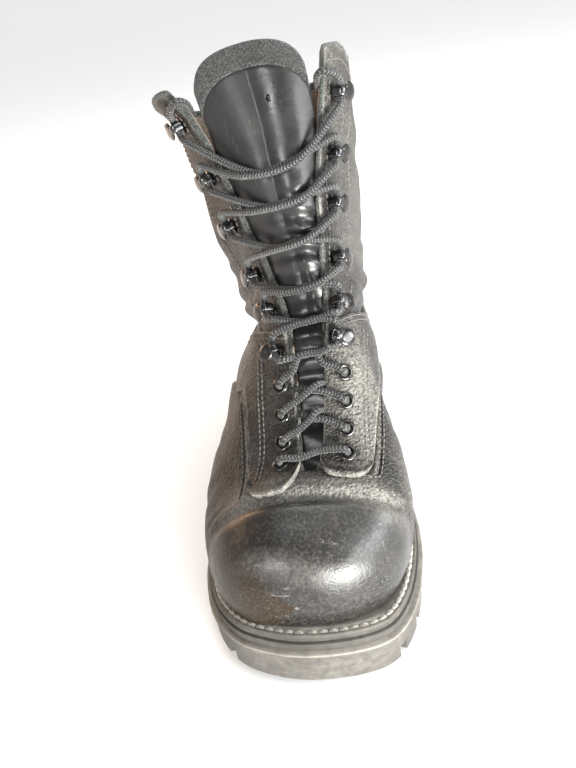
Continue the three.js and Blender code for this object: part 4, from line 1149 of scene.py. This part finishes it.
def tongue():
    """Two soft pads beside a centre groove, ripples where the foot bends, and a cloth band on top."""
    a, b = unit_grid(TONGUE_ROWS, TONGUE_COLS)
    u, angle = tongue_place(a, b)
    across = 2 * b - 1
    skin = form(u, angle)
    pad_height = np.where(across < 0, 0.8, 1.7)
    pads = pad_height * (1 - np.abs(2 * np.abs(across) - 1.0) ** 2.0) * smoothstep(6.5, 11, u)
    groove = -0.35 * gauss(across / 0.14) * smoothstep(6.0, 9.0, u)
    wave = np.sin((u - 9.0) * 6.5 + 2.2 * across + 0.8 * soft_noise(skin, 18, 2.9))
    ripples = wave * gauss((u - 12.2) / 2.0) * (0.35 + 0.65 * gauss((across - 0.4) / 0.5))
    ripples += 1.1 * wave * (1 - smoothstep(8.0, 10.5, u))
    relief = pads + groove + ripples + 0.35 * soft_noise(skin, 16, 4.4)
    hole = np.hypot((b - TONGUE_HOLE[1]) * 62, (a - TONGUE_HOLE[0]) * 170) < 1.0
    high = TONGUE_LIFT + np.maximum(relief, -1.2) - 1.4 * hole
    low = TONGUE_LIFT - TONGUE_THICKNESS + 0.2
    shiny = np.maximum(smoothstep(-0.1, 0.1, across), 1 - smoothstep(11, 14, u))
    shiny = shiny * (1 - smoothstep(0.55, 0.85, np.abs(across)))
    leather = slice(0, TONGUE_BAND_ROW + 2)
    cloth = slice(TONGUE_BAND_ROW, TONGUE_ROWS)
    body = slab("tongue_leather", u[leather], angle[leather], low, high[leather], TONGUE_LEATHER,
                edge_drop=1.0, attributes={"polish": shiny[leather]})
    band = slab("tongue_band", u[cloth], angle[cloth], low - 0.5, high[cloth] + 0.75, BAND_CLOTH,
                edge_drop=0.9)
    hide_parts("tongue")
    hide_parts("tongue")


# Seams

STITCH_RADIUS = 0.42
STITCH_ENDS = [(-0.5, 0.3), (-0.36, 0.85), (0.0, 1.0), (0.36, 0.85), (0.5, 0.3)]
STITCH_SIDES = 6


def stitch_shape(length, radius):
    """A small capsule along X, half sunk at Z 0."""
    points = []
    for along, share in STITCH_ENDS:
        for y, z in circle(1.0, STITCH_SIDES):
            dip = 0.25 * radius * (1 - share)
            points.append((along * length, y * radius * share, z * radius * share - dip))
    return np.array(points), tube_faces(len(STITCH_ENDS), STITCH_SIDES)


def stitch_run(parts, path, up, pitch, length, radius):
    """Stitches at even steps on a path, up holding the surface's normal at each of its points."""
    run = lengths_along(path)
    shape, faces = stitch_shape(length, radius)
    for at in np.arange(pitch / 2, run[-1], pitch):
        x = sample(at + 0.3, run, path) - sample(at - 0.3, run, path)
        x = x / np.linalg.norm(x)
        z = sample(at, run, up)
        z = z - x * (z @ x)
        z = z / np.linalg.norm(z)
        y = np.cross(z, x)
        turn = random.uniform(-0.06, 0.06)
        x, y = x * math.cos(turn) + y * math.sin(turn), y * math.cos(turn) - x * math.sin(turn)
        parts.add(sample(at, run, path) + shape @ np.array([x, y, z]), faces)


def sew(parts, u, angle, lift, relief=None, pitch=2.9, length=2.2):
    """A row of stitches along a line on the form, raised by the leather's own relief."""
    u, angle = as_pair(u, angle)
    extra = relief(u, angle, form(u, angle)) if relief else 0.0
    path = form(u, angle, extra + lift)
    stitch_run(parts, path, outward_normal(u, angle), pitch, length, STITCH_RADIUS)


def sew_beside_eyelets(parts, side):
    """Two rows down to the front of the flap."""
    eyelets = np.array([row[:2] if side < 0 else row[2:] for row in EYELETS])
    u = np.linspace(8.9, FLAPS[side][0] + 0.55, 60)
    for inset in (8.6, 10.6):
        distance = np.interp(u, eyelets[:, 0], eyelets[:, 1]) + inset
        sew(parts, u, angle_across(u, side * distance), QUARTER_HIGH + 0.1, None, 2.7, 2.1)


def sew_outside_flap(parts, side):
    """Two rows on the vamp that follow the flap's side and its corner."""
    front, _, front_x, back_x = FLAPS[side]
    flap_top = WING_TABLE[0, 1]
    u_side = np.linspace(flap_top - 0.3, front + 0.45, 60)
    turn = np.linspace(0, np.pi / 2, 16)
    u = np.concatenate([u_side, u_side[-1] - 0.3 * np.sin(turn)])
    for outset in (2.8, 4.8):
        side_x = front_x + (back_x - front_x) * (u_side - front) / (flap_top - front) + outset
        x = np.concatenate([side_x, side_x[-1] - 7.0 * (1 - np.cos(turn))])
        sew(parts, u, angle_across(u, side * x), 0.15, leather_relief, 2.7, 2.1)


def sew_shaft(parts, side):
    """Along the opening's edge, below the collar and beside the back seam."""
    u = np.linspace(WING_TABLE[0, 2] + 0.5, COLLAR_U - 0.15, 120)
    for inset in (3.2, 12.5):
        x = np.abs(throat_edge(u, side)) + inset
        sew(parts, u, angle_across(u, side * x), 0.05, shaft_seat)
    t = np.linspace(0.75, np.pi - 0.06, 200) * side
    sew(parts, collar_at(t) - 0.32, t, 0.05, shaft_seat)
    sew(parts, np.linspace(15.1, COLLAR_U - 0.5, 60), side * (np.pi - 0.075), 0.05, shaft_seat)


def seam_rows():
    parts = Parts()
    for side in (-1, 1):
        sew_beside_eyelets(parts, side)
        sew_outside_flap(parts, side)
        t = side * np.radians(np.linspace(18, 178, 260))
        for inset in (0.16, 0.34):
            sew(parts, wing_edge(t, 2) - inset, t, QUARTER_HIGH + 0.05, quarter_seat, 2.8, 2.2)
        sew_shaft(parts, side)
    parts.mesh("seam_stitches", BLACK_THREAD, "leather")


def shaft_seat(u, angle, points):
    return shaft_relief(u, angle, points) + ankle_fold(u, angle)


def quarter_seat(u, angle, points):
    return ankle_fold(u, angle)


# The sole

OUTLINE_POINTS = 360


def outline(inset, count=OUTLINE_POINTS):
    """The outsole's outline moved in, as evenly spaced points, toe first, inner side first."""
    table = OUTLINE_TABLE * [SOLE_LENGTH, BALL_WIDTH / 2, BALL_WIDTH / 2]
    last = len(table) - 1
    u = np.linspace(0, last, 40 * last + 1)
    i = np.minimum(u.astype(int), last - 1)

    def side(column, other):
        line = np.vstack([table[1, [other, 0]], table[:, [column, 0]], table[-2, [other, 0]]])
        return between_rows(line, i, (u - i)[:, None])

    inner, outer = side(2, 1), side(1, 2)
    loop = np.vstack([inner, outer[::-1][1:]])
    flat = np.column_stack([loop, np.zeros(len(loop))])
    loop = even_path(flat, lengths_along(flat)[-1] / count)[:-1, :2]
    run = np.roll(loop, -1, axis=0) - np.roll(loop, 1, axis=0)
    run /= np.linalg.norm(run, axis=1, keepdims=True)
    return np.stack([loop[:, 0] - run[:, 1] * inset, loop[:, 1] + run[:, 0] * inset], -1)


def ring_points(profile, count):
    """Points round the sole for each profile row of (inset, height below the feather line)."""
    height = feather_height(outline(0, count)[:, 1])
    rings = [np.column_stack([outline(inset, count), height - below]) for inset, below in profile]
    return np.stack(rings, 1)


def ring_solid(profile, count=OUTLINE_POINTS):
    """A closed ring round the sole."""
    index = np.arange(count * len(profile)).reshape(count, len(profile))
    return ring_points(profile, count).reshape(-1, 3), grid_faces(index, (True, True), turned=True)


def layer_solid(profile, count=OUTLINE_POINTS):
    """A closed slab: the profile's rows from its top centre round the edge to its under side."""
    index = np.arange(count * len(profile)).reshape(count, len(profile))
    faces = grid_faces(index, (True, False), turned=True) + [index[:, 0].tolist(), index[::-1, -1].tolist()]
    return ring_points(profile, count).reshape(-1, 3), faces


WELT_LOW = WELT_THICKNESS
MID_TOP = WELT_LOW + GAP
MID_LOW = MID_TOP + MIDSOLE_THICKNESS
OUT_TOP = MID_LOW + GAP
WELT_INSIDE = 15.0
WELT_STITCH_INSET = 5.8
WELT_STITCH_END_Y = 200
LAYER_INSIDE = 26.0


def welt():
    """A strip with two ribs, dusty between them, and a row of thick pale stitches."""
    edge = WELT_INSET
    profile = [
        (WELT_INSIDE, -0.1, 0), (8.6, -0.1, 0.3), (7.2, -0.35, 0.45), (6.4, 0.25, 0.5), (5.0, 0.3, 0.5),
        (4.4, -0.3, 0.45), (edge + 0.6, -0.25, 0.2), (edge + 0.1, 0.2, 0.05), (edge, 0.9, 0),
        (edge, WELT_LOW - 0.6, 0), (edge + 0.4, WELT_LOW, 0), (WELT_INSIDE, WELT_LOW, 0),
    ]
    points, faces = ring_solid([row[:2] for row in profile])
    dusty = np.tile([row[2] for row in profile], len(points) // len(profile))
    piece = add_mesh("welt_rubber", points, faces, WELT_RUBBER, {"dusty": dusty})
    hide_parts("welt")
    parts = Parts()
    xy = outline(WELT_STITCH_INSET, 720)
    path = np.column_stack([xy, feather_height(xy[:, 1]) + 0.15])
    path = np.vstack([path, path[:1]])
    path = path[path[:, 1] < WELT_STITCH_END_Y]
    stitch_run(parts, path, np.tile([0.0, 0.0, 1.0], (len(path), 1)), 4.5, 5.0, 1.4)
    parts.mesh("welt_stitches", PALE_THREAD, "welt_rubber")


def midsole():
    edge = MIDSOLE_INSET
    points, faces = layer_solid([
        (LAYER_INSIDE, MID_TOP), (edge + 0.8, MID_TOP), (edge + 0.15, MID_TOP + 0.25), (edge, MID_TOP + 0.9),
        (edge + 0.05, MID_LOW - 1.2), (edge + 0.3, MID_LOW - 0.5), (edge + 0.9, MID_LOW),
        (LAYER_INSIDE, MID_LOW),
    ])
    piece = add_mesh("midsole_rubber", points, faces, WELT_RUBBER)
    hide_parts("midsole")


SOLE_DEPTH = 44.0
BELOW_GROUND = -60.0
CUT_LOW = -12
LUG_ROUNDING = 0.45
RIM_DUST = 0.42
CHANNEL_POINTS = 160


def box_shape(x, y, turn, length, width, top):
    c, s = math.cos(turn), math.sin(turn)
    corners = []
    for z in (CUT_LOW, top):
        for a, b in ((-1, -1), (1, -1), (1, 1), (-1, 1)):
            px, py = a * length / 2, b * width / 2
            corners.append((x + px * c - py * s, y + px * s + py * c, z))
    faces = [[3, 2, 1, 0], [4, 5, 6, 7], [0, 1, 5, 4], [1, 2, 6, 5], [2, 3, 7, 6], [3, 0, 4, 7]]
    return np.array(corners), faces


def prism(profile_yz, half_width):
    """A profile in the plane of y and z drawn across the boot."""
    count = len(profile_yz)
    points = [(x, y, z) for x in (-half_width, half_width) for y, z in profile_yz]
    faces = [list(range(count)), list(range(2 * count - 1, count - 1, -1))]
    for i in range(count):
        j = (i + 1) % count
        faces.append([i, i + count, j + count, j])
    return np.array(points), faces


def cut(body, points, faces):
    """Takes a shape away from the body."""
    mesh = raw_mesh("cutter", points, faces)
    clean(mesh)
    tool = link("cutter", mesh)
    step = body.modifiers.new("cut", "BOOLEAN")
    step.operation = "DIFFERENCE"
    step.solver = "EXACT"
    step.object = tool
    whole = body.data
    body.data = modified(body)
    body.modifiers.clear()
    bpy.data.meshes.remove(whole)
    bpy.data.objects.remove(tool)


def modified(body):
    """A new mesh with the body's modifiers applied."""
    bpy.context.view_layer.update()
    return bpy.data.meshes.new_from_object(body.evaluated_get(bpy.context.evaluated_depsgraph_get()))


def space_below():
    """What lies under the sole: toe spring, arch and the heel's front and bevel."""
    half = SOLE_LENGTH / 2
    heel_front = HEEL_BREAST_SHARE * SOLE_LENGTH
    arch = float(ground_height(heel_front))
    forefoot = np.linspace(-half - 6, FOREFOOT_BACK_SHARE * SOLE_LENGTH, 30)
    low = [(y, float(ground_height(y))) for y in forefoot]
    low += [
        (ARCH_FRONT_SHARE * SOLE_LENGTH, arch * 0.8), (heel_front - HEEL_BREAST_LEAN, arch),
        (heel_front, 0.0), (HEEL_BEVEL_SHARE * SOLE_LENGTH, 0.0), (half + 6, HEEL_BEVEL_RISE),
    ]
    return prism(low + [(low[-1][0], BELOW_GROUND), (low[0][0], BELOW_GROUND)], 90)


def notches(shares, depth, width, boxes):
    """Boxes across the tread at shares of its length; boxes gives (x, turn, length) of each."""
    parts = Parts()
    loop = outline(0)
    for share in shares:
        y = share * SOLE_LENGTH
        nearby = loop[np.abs(loop[:, 1] - y) < 1.2, 0]
        top = float(ground_height(min(y, 0))) + depth
        for x, turn, length in boxes(nearby.min(), nearby.max()):
            parts.add(*box_shape(x, y, turn, length, width, top))
    return np.vstack(parts.points), parts.faces


def edge_boxes(outer, inner):
    reach = NOTCH_LENGTH / 2 - 2
    return [(outer + reach, NOTCH_SLANT, NOTCH_LENGTH + 4), (inner - reach, -NOTCH_SLANT, NOTCH_LENGTH + 4)]


def centre_boxes(outer, inner):
    reach = (inner - outer) / 2 - NOTCH_LENGTH - 4
    middle = (outer + inner) / 2
    return [(middle + side * (reach / 2 + 0.2), -side * NOTCH_SLANT, reach - 1.5) for side in (-1, 1)]


def tread_channel():
    """A ring that follows the outline inside the edge lugs, as deep as the lugs."""
    count, near, far = CHANNEL_POINTS, NOTCH_LENGTH + 1, NOTCH_LENGTH + 1 + NOTCH_WIDTH
    top = ground_height(np.minimum(outline(0, count)[:, 1], 0)) + LUG_DEPTH
    low = np.full(count, -20.0)
    rings = [np.column_stack([outline(inset, count), z]) for inset, z in
             ((near, top), (far, top), (far, low), (near, low))]
    index = np.arange(count * 4).reshape(count, 4)
    return np.stack(rings, 1).reshape(-1, 3), grid_faces(index, (True, True), turned=True)


def outsole():
    low = OUT_TOP + OUTSOLE_RIM_HEIGHT
    step = OUTSOLE_RIM_STEP
    mesh = raw_mesh("outsole_body", *layer_solid([
        (LAYER_INSIDE, OUT_TOP), (0.9, OUT_TOP), (0.25, OUT_TOP + 0.25), (0.0, OUT_TOP + 0.8),
        (0.0, OUT_TOP + 1.3), (0.0, low - 0.5), (0.25, low - 0.1), (step, low + 0.25), (step, SOLE_DEPTH),
        (LAYER_INSIDE, SOLE_DEPTH),
    ], 300))
    clean(mesh)
    body = link("outsole_body", mesh)
    cut(body, *space_below())
    cut(body, *notches(FOREFOOT_NOTCHES + HEEL_NOTCHES, WORN_NOTCH_DEPTH, WORN_NOTCH_WIDTH, edge_boxes))
    cut(body, *notches(CENTRE_NOTCHES, LUG_DEPTH, NOTCH_WIDTH, centre_boxes))
    cut(body, *tread_channel())
    bevel = body.modifiers.new("soft_edges", "BEVEL")
    bevel.width = LUG_ROUNDING * MM
    bevel.segments = 2
    bevel.limit_method = "ANGLE"
    bevel.angle_limit = math.radians(40)
    mesh = modified(body)
    mesh.name = "outsole_rubber"
    bpy.data.objects.remove(body)
    points = np.zeros(len(mesh.vertices) * 3, np.float32)
    mesh.vertices.foreach_get("co", points)
    points = points.reshape(-1, 3) / MM - PART_SHIFT
    below_top = feather_height(points[:, 1]) - points[:, 2] - OUT_TOP
    set_values(mesh, "dusty", RIM_DUST * (1 - smoothstep(0.6, 1.1, below_top)))
    piece = finish_mesh("outsole_rubber", mesh, RUBBER, 35)
    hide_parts("outsole")


# Fittings

FITTING_SIDES = 28
HOOK_BEND_RADIUS = 1.6
DISC_SHIFT = 0.8


def seat(u, distance):
    """Place and axes of a fitting: X away from the opening, Z out of the leather."""
    angle = angle_across(u, distance)
    place = form(u, angle)
    up = outward_normal(u, angle)
    out = form(u, angle_across(u, distance * 1.08)) - place
    out = out - up * (out @ up)
    out = out / np.linalg.norm(out)
    side = np.cross(up, out)
    return place, np.array([out, side, up])


def places(table, side):
    return [(row[0], -row[1]) if side < 0 else (row[2], row[3]) for row in table]


def turned_points(profile, sides):
    """Points of a body of revolution about Z, from rows of radius and height."""
    ring = circle(1.0, sides)
    return np.array([(radius * x, radius * y, height) for radius, height in profile for x, y in ring])


def lathe(profile, sides):
    return turned_points(profile, sides), tube_faces(len(profile), sides)


def eyelet(u, x, name):
    place, axes = seat(u, x)
    inner = EYELET_HOLE_RADIUS
    barrel = inner + EYELET_BARREL_WALL
    base = QUARTER_HIGH + GAP + 0.1
    rim = EYELET_FLANGE_RADIUS
    top = base + EYELET_FLANGE_THICKNESS
    profile = [
        (inner, -UPPER_WALL), (barrel, -UPPER_WALL), (barrel, base), (rim - 0.2, base), (rim, base + 0.25),
        (rim - 0.25, base + 0.6), (rim - 0.9, top), (inner + 0.7, top), (inner + 0.15, top - 0.3),
        (inner, top - 0.9),
    ]
    index = np.arange(len(profile) * FITTING_SIDES).reshape(len(profile), FITTING_SIDES)
    points = place + turned_points(profile, FITTING_SIDES) @ axes
    piece = add_mesh(name + "_ring", points, grid_faces(index, (True, True)), DARK_METAL)
    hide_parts(name)


def fitting_ground(u):
    return QUARTER_HIGH + GAP if u < WING_TABLE[0, 2] else GAP + FACET_ALLOWANCE


def hook_ground(u, x):
    """Lift of the leather's face under a hook."""
    if u < WING_TABLE[0, 2]:
        return fitting_ground(u)
    t = angle_across(u, x)
    return max(float(shaft_seat(u, t, form(u, t))), -0.3) + 0.2


def disc_profile(radius, low, thickness):
    return [
        (0.01, low), (radius - 0.35, low), (radius, low + 0.35), (radius - 0.05, low + thickness - 0.35),
        (radius - 0.5, low + thickness), (radius * 0.45, low + thickness + 0.16),
        (0.01, low + thickness + 0.22),
    ]


def rounded_bar(half_width, half_thick):
    """The section of a hook's neck, an oblong with soft corners."""
    turn = np.linspace(0, 2 * np.pi, 16, endpoint=False)
    c, s = np.cos(turn), np.sin(turn)
    wide = half_width * np.sign(c) * np.abs(c) ** 0.5
    return np.stack([wide, half_thick * np.sign(s) * np.abs(s) ** 0.7], -1)


def hook(u, x, name):
    """A riveted plate, a neck bent over the lace and a disc on top."""
    place, axes = seat(u, x)
    ground = fitting_ground(u)
    plate_top = ground + HOOK_PLATE_THICKNESS
    disc_base = plate_top + HOOK_CLEAR_HEIGHT
    low = min(hook_ground(u, x), ground)
    discs, neck = Parts(), Parts()
    points, faces = lathe(disc_profile(HOOK_PLATE_RADIUS, low, plate_top - low), 24)
    discs.add(place + points @ axes, faces)
    points, faces = lathe(disc_profile(HOOK_DISC_RADIUS, disc_base, HOOK_DISC_THICKNESS), FITTING_SIDES)
    discs.add(place + (points + [DISC_SHIFT, 0, 0]) @ axes, faces)
    far, bend = -HOOK_NECK_REACH, HOOK_BEND_RADIUS
    bottom, top = ground + 0.4, disc_base + 0.55
    arc = np.linspace(0, np.pi / 2, 6)
    route = [(-1.2, bottom), (-2.2, bottom)]
    route += [(far + bend - bend * math.sin(t), bottom + bend - bend * math.cos(t)) for t in arc]
    route += [(far + bend - bend * math.cos(t), top - bend + bend * math.sin(t)) for t in arc]
    route += [(-2.2, top), (-0.6, top)]
    bar = rounded_bar(HOOK_NECK_WIDTH / 2, HOOK_NECK_THICKNESS / 2)
    points, faces, _ = sweep(np.array([(a, 0.0, b) for a, b in route]), bar)
    neck.add(place + points @ axes, faces)
    heights = (bottom + 1.2, (bottom + top) / 2, top - 1.2)
    swelling = smooth_path([(far, 0.0, height) for height in heights], 0.5)
    points, faces, _ = sweep(swelling, bar * [1.14, 1.2], start=(1.0, 0.0, 0.0))
    neck.add(place + points @ axes, faces)
    dark = discs.mesh(name + "_disc", DARK_METAL, "dark_metal")
    neck.mesh(name + "_neck", BRIGHT_METAL, "dark_metal")
    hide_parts(name)


# The laces, each strand a list of places on the form: u, distance from the centre line, lift

OVER_FLAP = QUARTER_HIGH + LACE_DIAMETER / 2 + 0.7
ON_TONGUE = TONGUE_LIFT + LACE_DIAMETER / 2 + 1.7
LACE_STEP = LACE_DIAMETER * 0.62
BRAID_STEP = 0.55
BRAID_PITCH = 2.6
CORD_SIDES = 16


def lace_point(spot):
    u, x, lift = spot
    return form(u, angle_across(u, x), lift)


def step_along(u, x, millimetres):
    """How much u grows over this length of the leather."""
    t = angle_across(u, x)
    per_u = np.linalg.norm(form(u + 0.1, t) - form(u - 0.1, t)) / 0.2
    return millimetres / per_u


def hook_port(spot, way):
    """Places of the lace from behind a hook's neck to free of it, upwards where way is 1."""
    u, x = spot
    lift = fitting_ground(u) + HOOK_PLATE_THICKNESS + HOOK_CLEAR_HEIGHT / 2
    behind = HOOK_NECK_REACH - HOOK_NECK_THICKNESS / 2 - LACE_DIAMETER / 2 - 0.5
    place, axes = seat(u, x)
    t = angle_across(u, x)
    to_collar = raw_point(u + 0.1, t) - raw_point(u, t)
    turn = way * np.sign(axes[1] @ to_collar)
    half = HOOK_NECK_WIDTH / 2
    local = [
        (-behind, 0.7, lift), (-behind, half + 1.4, lift),
        (-behind - 1.4, half + LACE_DIAMETER / 2 + 2.2, lift + 0.5),
        (-behind - 4.2, half + LACE_DIAMETER / 2 + 3.2, lift + 0.9),
    ]
    return [place + np.array([a, turn * b, c]) @ axes for a, b, c in local]


def eyelet_port(spot):
    """Places of the lace from inside an eyelet to the opening's edge."""
    u, x = spot
    side = np.sign(x)
    edge = throat_edge(u, side)
    place, axes = seat(u, x)
    return [
        place + np.array([0.5, 0.0, -2.6]) @ axes,
        place + np.array([0.1, 0.0, QUARTER_HIGH - 0.4]) @ axes,
        lace_point((u, x - side * 1.2, OVER_FLAP + EYELET_FLANGE_THICKNESS + 0.2)),
        lace_point((u + step_along(u, x, 2.2), (x + edge) / 2, OVER_FLAP + 0.4)),
        lace_point((u + step_along(u, x, 4.5), edge - side * 0.6, OVER_FLAP)),
    ]


def braid(parts, route):
    """The cord along a route, with the small hills of two crossing strands on its skin."""
    path = smooth_path(route, BRAID_STEP)
    run = BRAID_STEP * np.arange(len(path))[:, None] * 2 * np.pi / BRAID_PITCH
    turn = 2 * np.pi * np.arange(CORD_SIDES)[None, :] / CORD_SIDES
    hills = np.maximum(np.sin(run + 4 * turn), np.sin(run - 4 * turn))
    parts.add(*sweep(path, circle(LACE_DIAMETER * 0.45, CORD_SIDES), 1 + 0.045 * hills))


def crossing_middle(i, side, lift):
    """The strand that comes from the outer side lies over the other one."""
    u, x = CROSSINGS[i]
    lift += LACE_STEP if side < 0 else 0.0
    reach = 0.4 * side * abs(float(throat_edge(u, side)))
    return [lace_point((u, x + reach, lift)), lace_point((u, x - reach, lift))]


def laces():
    """The bar, the two lower crossings and the two long halves."""
    eyes = {side: places(EYELETS, side) for side in (-1, 1)}
    hooks = {side: places(HOOKS, side) for side in (-1, 1)}
    parts = Parts()
    left, right = eyelet_port(eyes[-1][0]), eyelet_port(eyes[1][0])
    edges = [lace_point((eyes[s][0][0], throat_edge(eyes[s][0][0], s), OVER_FLAP)) for s in (-1, 1)]
    braid(parts, left[:3] + edges + right[:3][::-1])
    bar = parts.mesh("lace_bar_braid", LACE, "lace_cord")
    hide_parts("lace_bar")
    for row in (1, 2):
        parts = Parts()
        mid_u, mid_x = CROSSINGS[row - 1]
        for side, over in ((-1, LACE_STEP), (1, 0.0)):
            far = throat_edge(mid_u, -side) + side * (LACE_DIAMETER / 2 + 0.8)
            route = eyelet_port(eyes[side][row])
            route += [lace_point((mid_u, mid_x, OVER_FLAP - 1.4 + over)),
                      lace_point((mid_u + 0.12, far, OVER_FLAP - 2 + over)),
                      lace_point((mid_u + 0.16, far - side * 2.5, OVER_FLAP - 4.2 + 0.4 * over))]
            braid(parts, route)
        piece = parts.mesh("lace_crossing_%d_braid" % row, LACE, "lace_cord")
        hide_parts("lace_crossing_%d" % row)
    lace_halves(eyes, hooks)


def lace_halves(eyes, hooks):
    """The two halves that run from the top eyelets to the highest hooks, each one cord."""
    for side, word in ((-1, "outer"), (1, "inner")):
        parts = Parts()
        route = eyelet_port(eyes[side][3]) + crossing_middle(2, side, OVER_FLAP - 1.2)
        for level in range(len(HOOKS)):
            side = -side
            spot = hooks[side][level]
            route += hook_port(spot, -1)[::-1]
            above = hook_port(spot, 1)
            if level == len(HOOKS) - 1:
                route += above[:2] + tucked_end(spot, side)
                break
            route += above + crossing_middle(level + 3, side, ON_TONGUE)
        braid(parts, route)
        piece = parts.mesh("lace_half_" + word, LACE, "lace_cord")
        nodes = ["lace_crossing_%d" % k for k in range(3, 9)]
        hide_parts(*nodes)


def tucked_end(spot, side):
    """Over the opening's edge and down between the tongue and the shaft."""
    u, x = spot
    edge = float(throat_edge(u + 0.5, side))
    return [
        lace_point((u + 0.42, x - side * 1.5, 5.4)),
        lace_point((u + 0.62, edge - side * 2.0, 3.6)),
        lace_point((u + 0.5, edge - side * 2.6, -0.6)),
        lace_point((u + 0.1, edge + side * 0.5, -5.2)),
    ]


# Building

vamp()
shaft()
shaft_lining()
collar_binding()
for side, name in ((-1, "quarter_outer"), (1, "quarter_inner")):
    quarter(side, name)
tongue()
seam_rows()
welt()
midsole()
outsole()
for side, word in ((-1, "outer"), (1, "inner")):
    for i, (u, x) in enumerate(places(EYELETS, side)):
        eyelet(u, x, "eyelet_%s_%d" % (word, i + 1))
    for i, (u, x) in enumerate(places(HOOKS, side)):
        hook(u, x, "hook_%s_%d" % (word, i + 1))
laces()
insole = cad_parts["insole"]
insole.data.materials.clear()
insole.data.materials.append(INSOLE_CLOTH)

# Stage, light and camera

FLOOR_SIZE = 120.0
HORIZON_STRENGTH = 0.9
SKY_STRENGTH = 0.33
CAMERA_PLACE = Vector((0.0439, -0.3376, 0.280))
PHOTO_AIM = Vector((0.1280, 0.8566, -0.5))
BOOT_MIDDLE = Vector((-0.004, -0.052, 0.098))
PHOTO_LENS = 32.4


def floor_material():
    s = Shader("pale_floor")
    base = s.blend(s.noise(6.0, 2.0), rgb(0.94, 0.94, 0.94), rgb(0.96, 0.96, 0.96))
    return s.finish(base, 0.7)


def studio_light(name, azimuth, elevation, distance, size, radiance, color):
    """A soft light seen from the boot at these degrees, 0 in front and 90 on the inner side."""
    turn, rise = math.radians(azimuth), math.radians(elevation)
    way = Vector((math.sin(turn) * math.cos(rise), -math.cos(turn) * math.cos(rise), math.sin(rise)))
    light = bpy.data.lights.new(name, "AREA")
    light.shape = "RECTANGLE"
    light.size, light.size_y = size
    light.energy = math.pi * size[0] * size[1] * radiance
    light.color = color
    made = link(name, light)
    made.location = LIT_PLACE + way * distance
    made.rotation_euler = (-way).to_track_quat("-Z", "Y").to_euler()


LIT_PLACE = Vector((0.0, -0.06, 0.09))
studio_light("high_window", 56, 47, 1.3, (0.5, 0.3), 6.0, (0.98, 0.99, 1.0))
studio_light("window", 74, 17, 1.3, (1.1, 0.42), 14.0, (0.95, 0.98, 1.0))
studio_light("low_window", 33, -3.0, 0.75, (0.4, 0.1), 140.0, (1.0, 0.99, 0.95))
studio_light("warm_wall", -132, 13, 1.1, (0.9, 0.36), 5.0, (1.0, 0.55, 0.25))
studio_light("overhead", -170, 62, 1.3, (0.7, 0.6), 4.0, (1.0, 1.0, 1.0))
studio_light("front_strip", -24, 22, 1.4, (0.14, 0.5), 34.0, (1.0, 1.0, 1.0))

half = FLOOR_SIZE / 2
floor_mesh = bpy.data.meshes.new("floor")
corners = [(-half, -half, 0), (half, -half, 0), (half, half, 0), (-half, half, 0)]
floor_mesh.from_pydata(corners, [], [(0, 1, 2, 3)])
floor_mesh.materials.append(floor_material())
floor = link("floor", floor_mesh)

sky = bpy.data.lights.new("sky", "SUN")
sky.energy = 1.75
sky.angle = math.radians(60)
sky_light = link("sky", sky)
sky_light.rotation_euler = (math.radians(-22), math.radians(14), 0)


def studio_world():
    """White at the horizon, greyer above, so that the leather keeps its darks."""
    made = bpy.data.worlds.new("studio")
    made.use_nodes = True
    tree = made.node_tree
    place = tree.nodes.new("ShaderNodeTexCoord").outputs["Generated"]
    split = tree.nodes.new("ShaderNodeSeparateXYZ")
    tree.links.new(place, split.inputs[0])
    span = tree.nodes.new("ShaderNodeMapRange")
    span.inputs["From Min"].default_value = 0.12
    span.inputs["From Max"].default_value = 0.5
    span.inputs["To Min"].default_value = HORIZON_STRENGTH
    span.inputs["To Max"].default_value = SKY_STRENGTH
    tree.links.new(split.outputs["Z"], span.inputs["Value"])
    tree.links.new(span.outputs["Result"], tree.nodes["Background"].inputs["Strength"])
    tree.nodes["Background"].inputs["Color"].default_value = (1.0, 1.0, 1.0, 1.0)
    return made


bpy.context.scene.world = studio_world()

camera_data = bpy.data.cameras.new("camera")
camera_data.lens = PHOTO_LENS
camera_data.sensor_width = 36.0
camera_data.clip_start = 0.01
camera_data.clip_end = 200.0
camera = link("camera", camera_data)
camera.location = CAMERA_PLACE
photo_aim = PHOTO_AIM.normalized()
boot_aim = (BOOT_MIDDLE - CAMERA_PLACE).normalized()
camera.rotation_mode = "QUATERNION"
camera.rotation_quaternion = photo_aim.rotation_difference(boot_aim) @ photo_aim.to_track_quat("-Z", "Y")
bpy.context.scene.camera = camera
bpy.context.scene.view_settings.view_transform = "Standard"
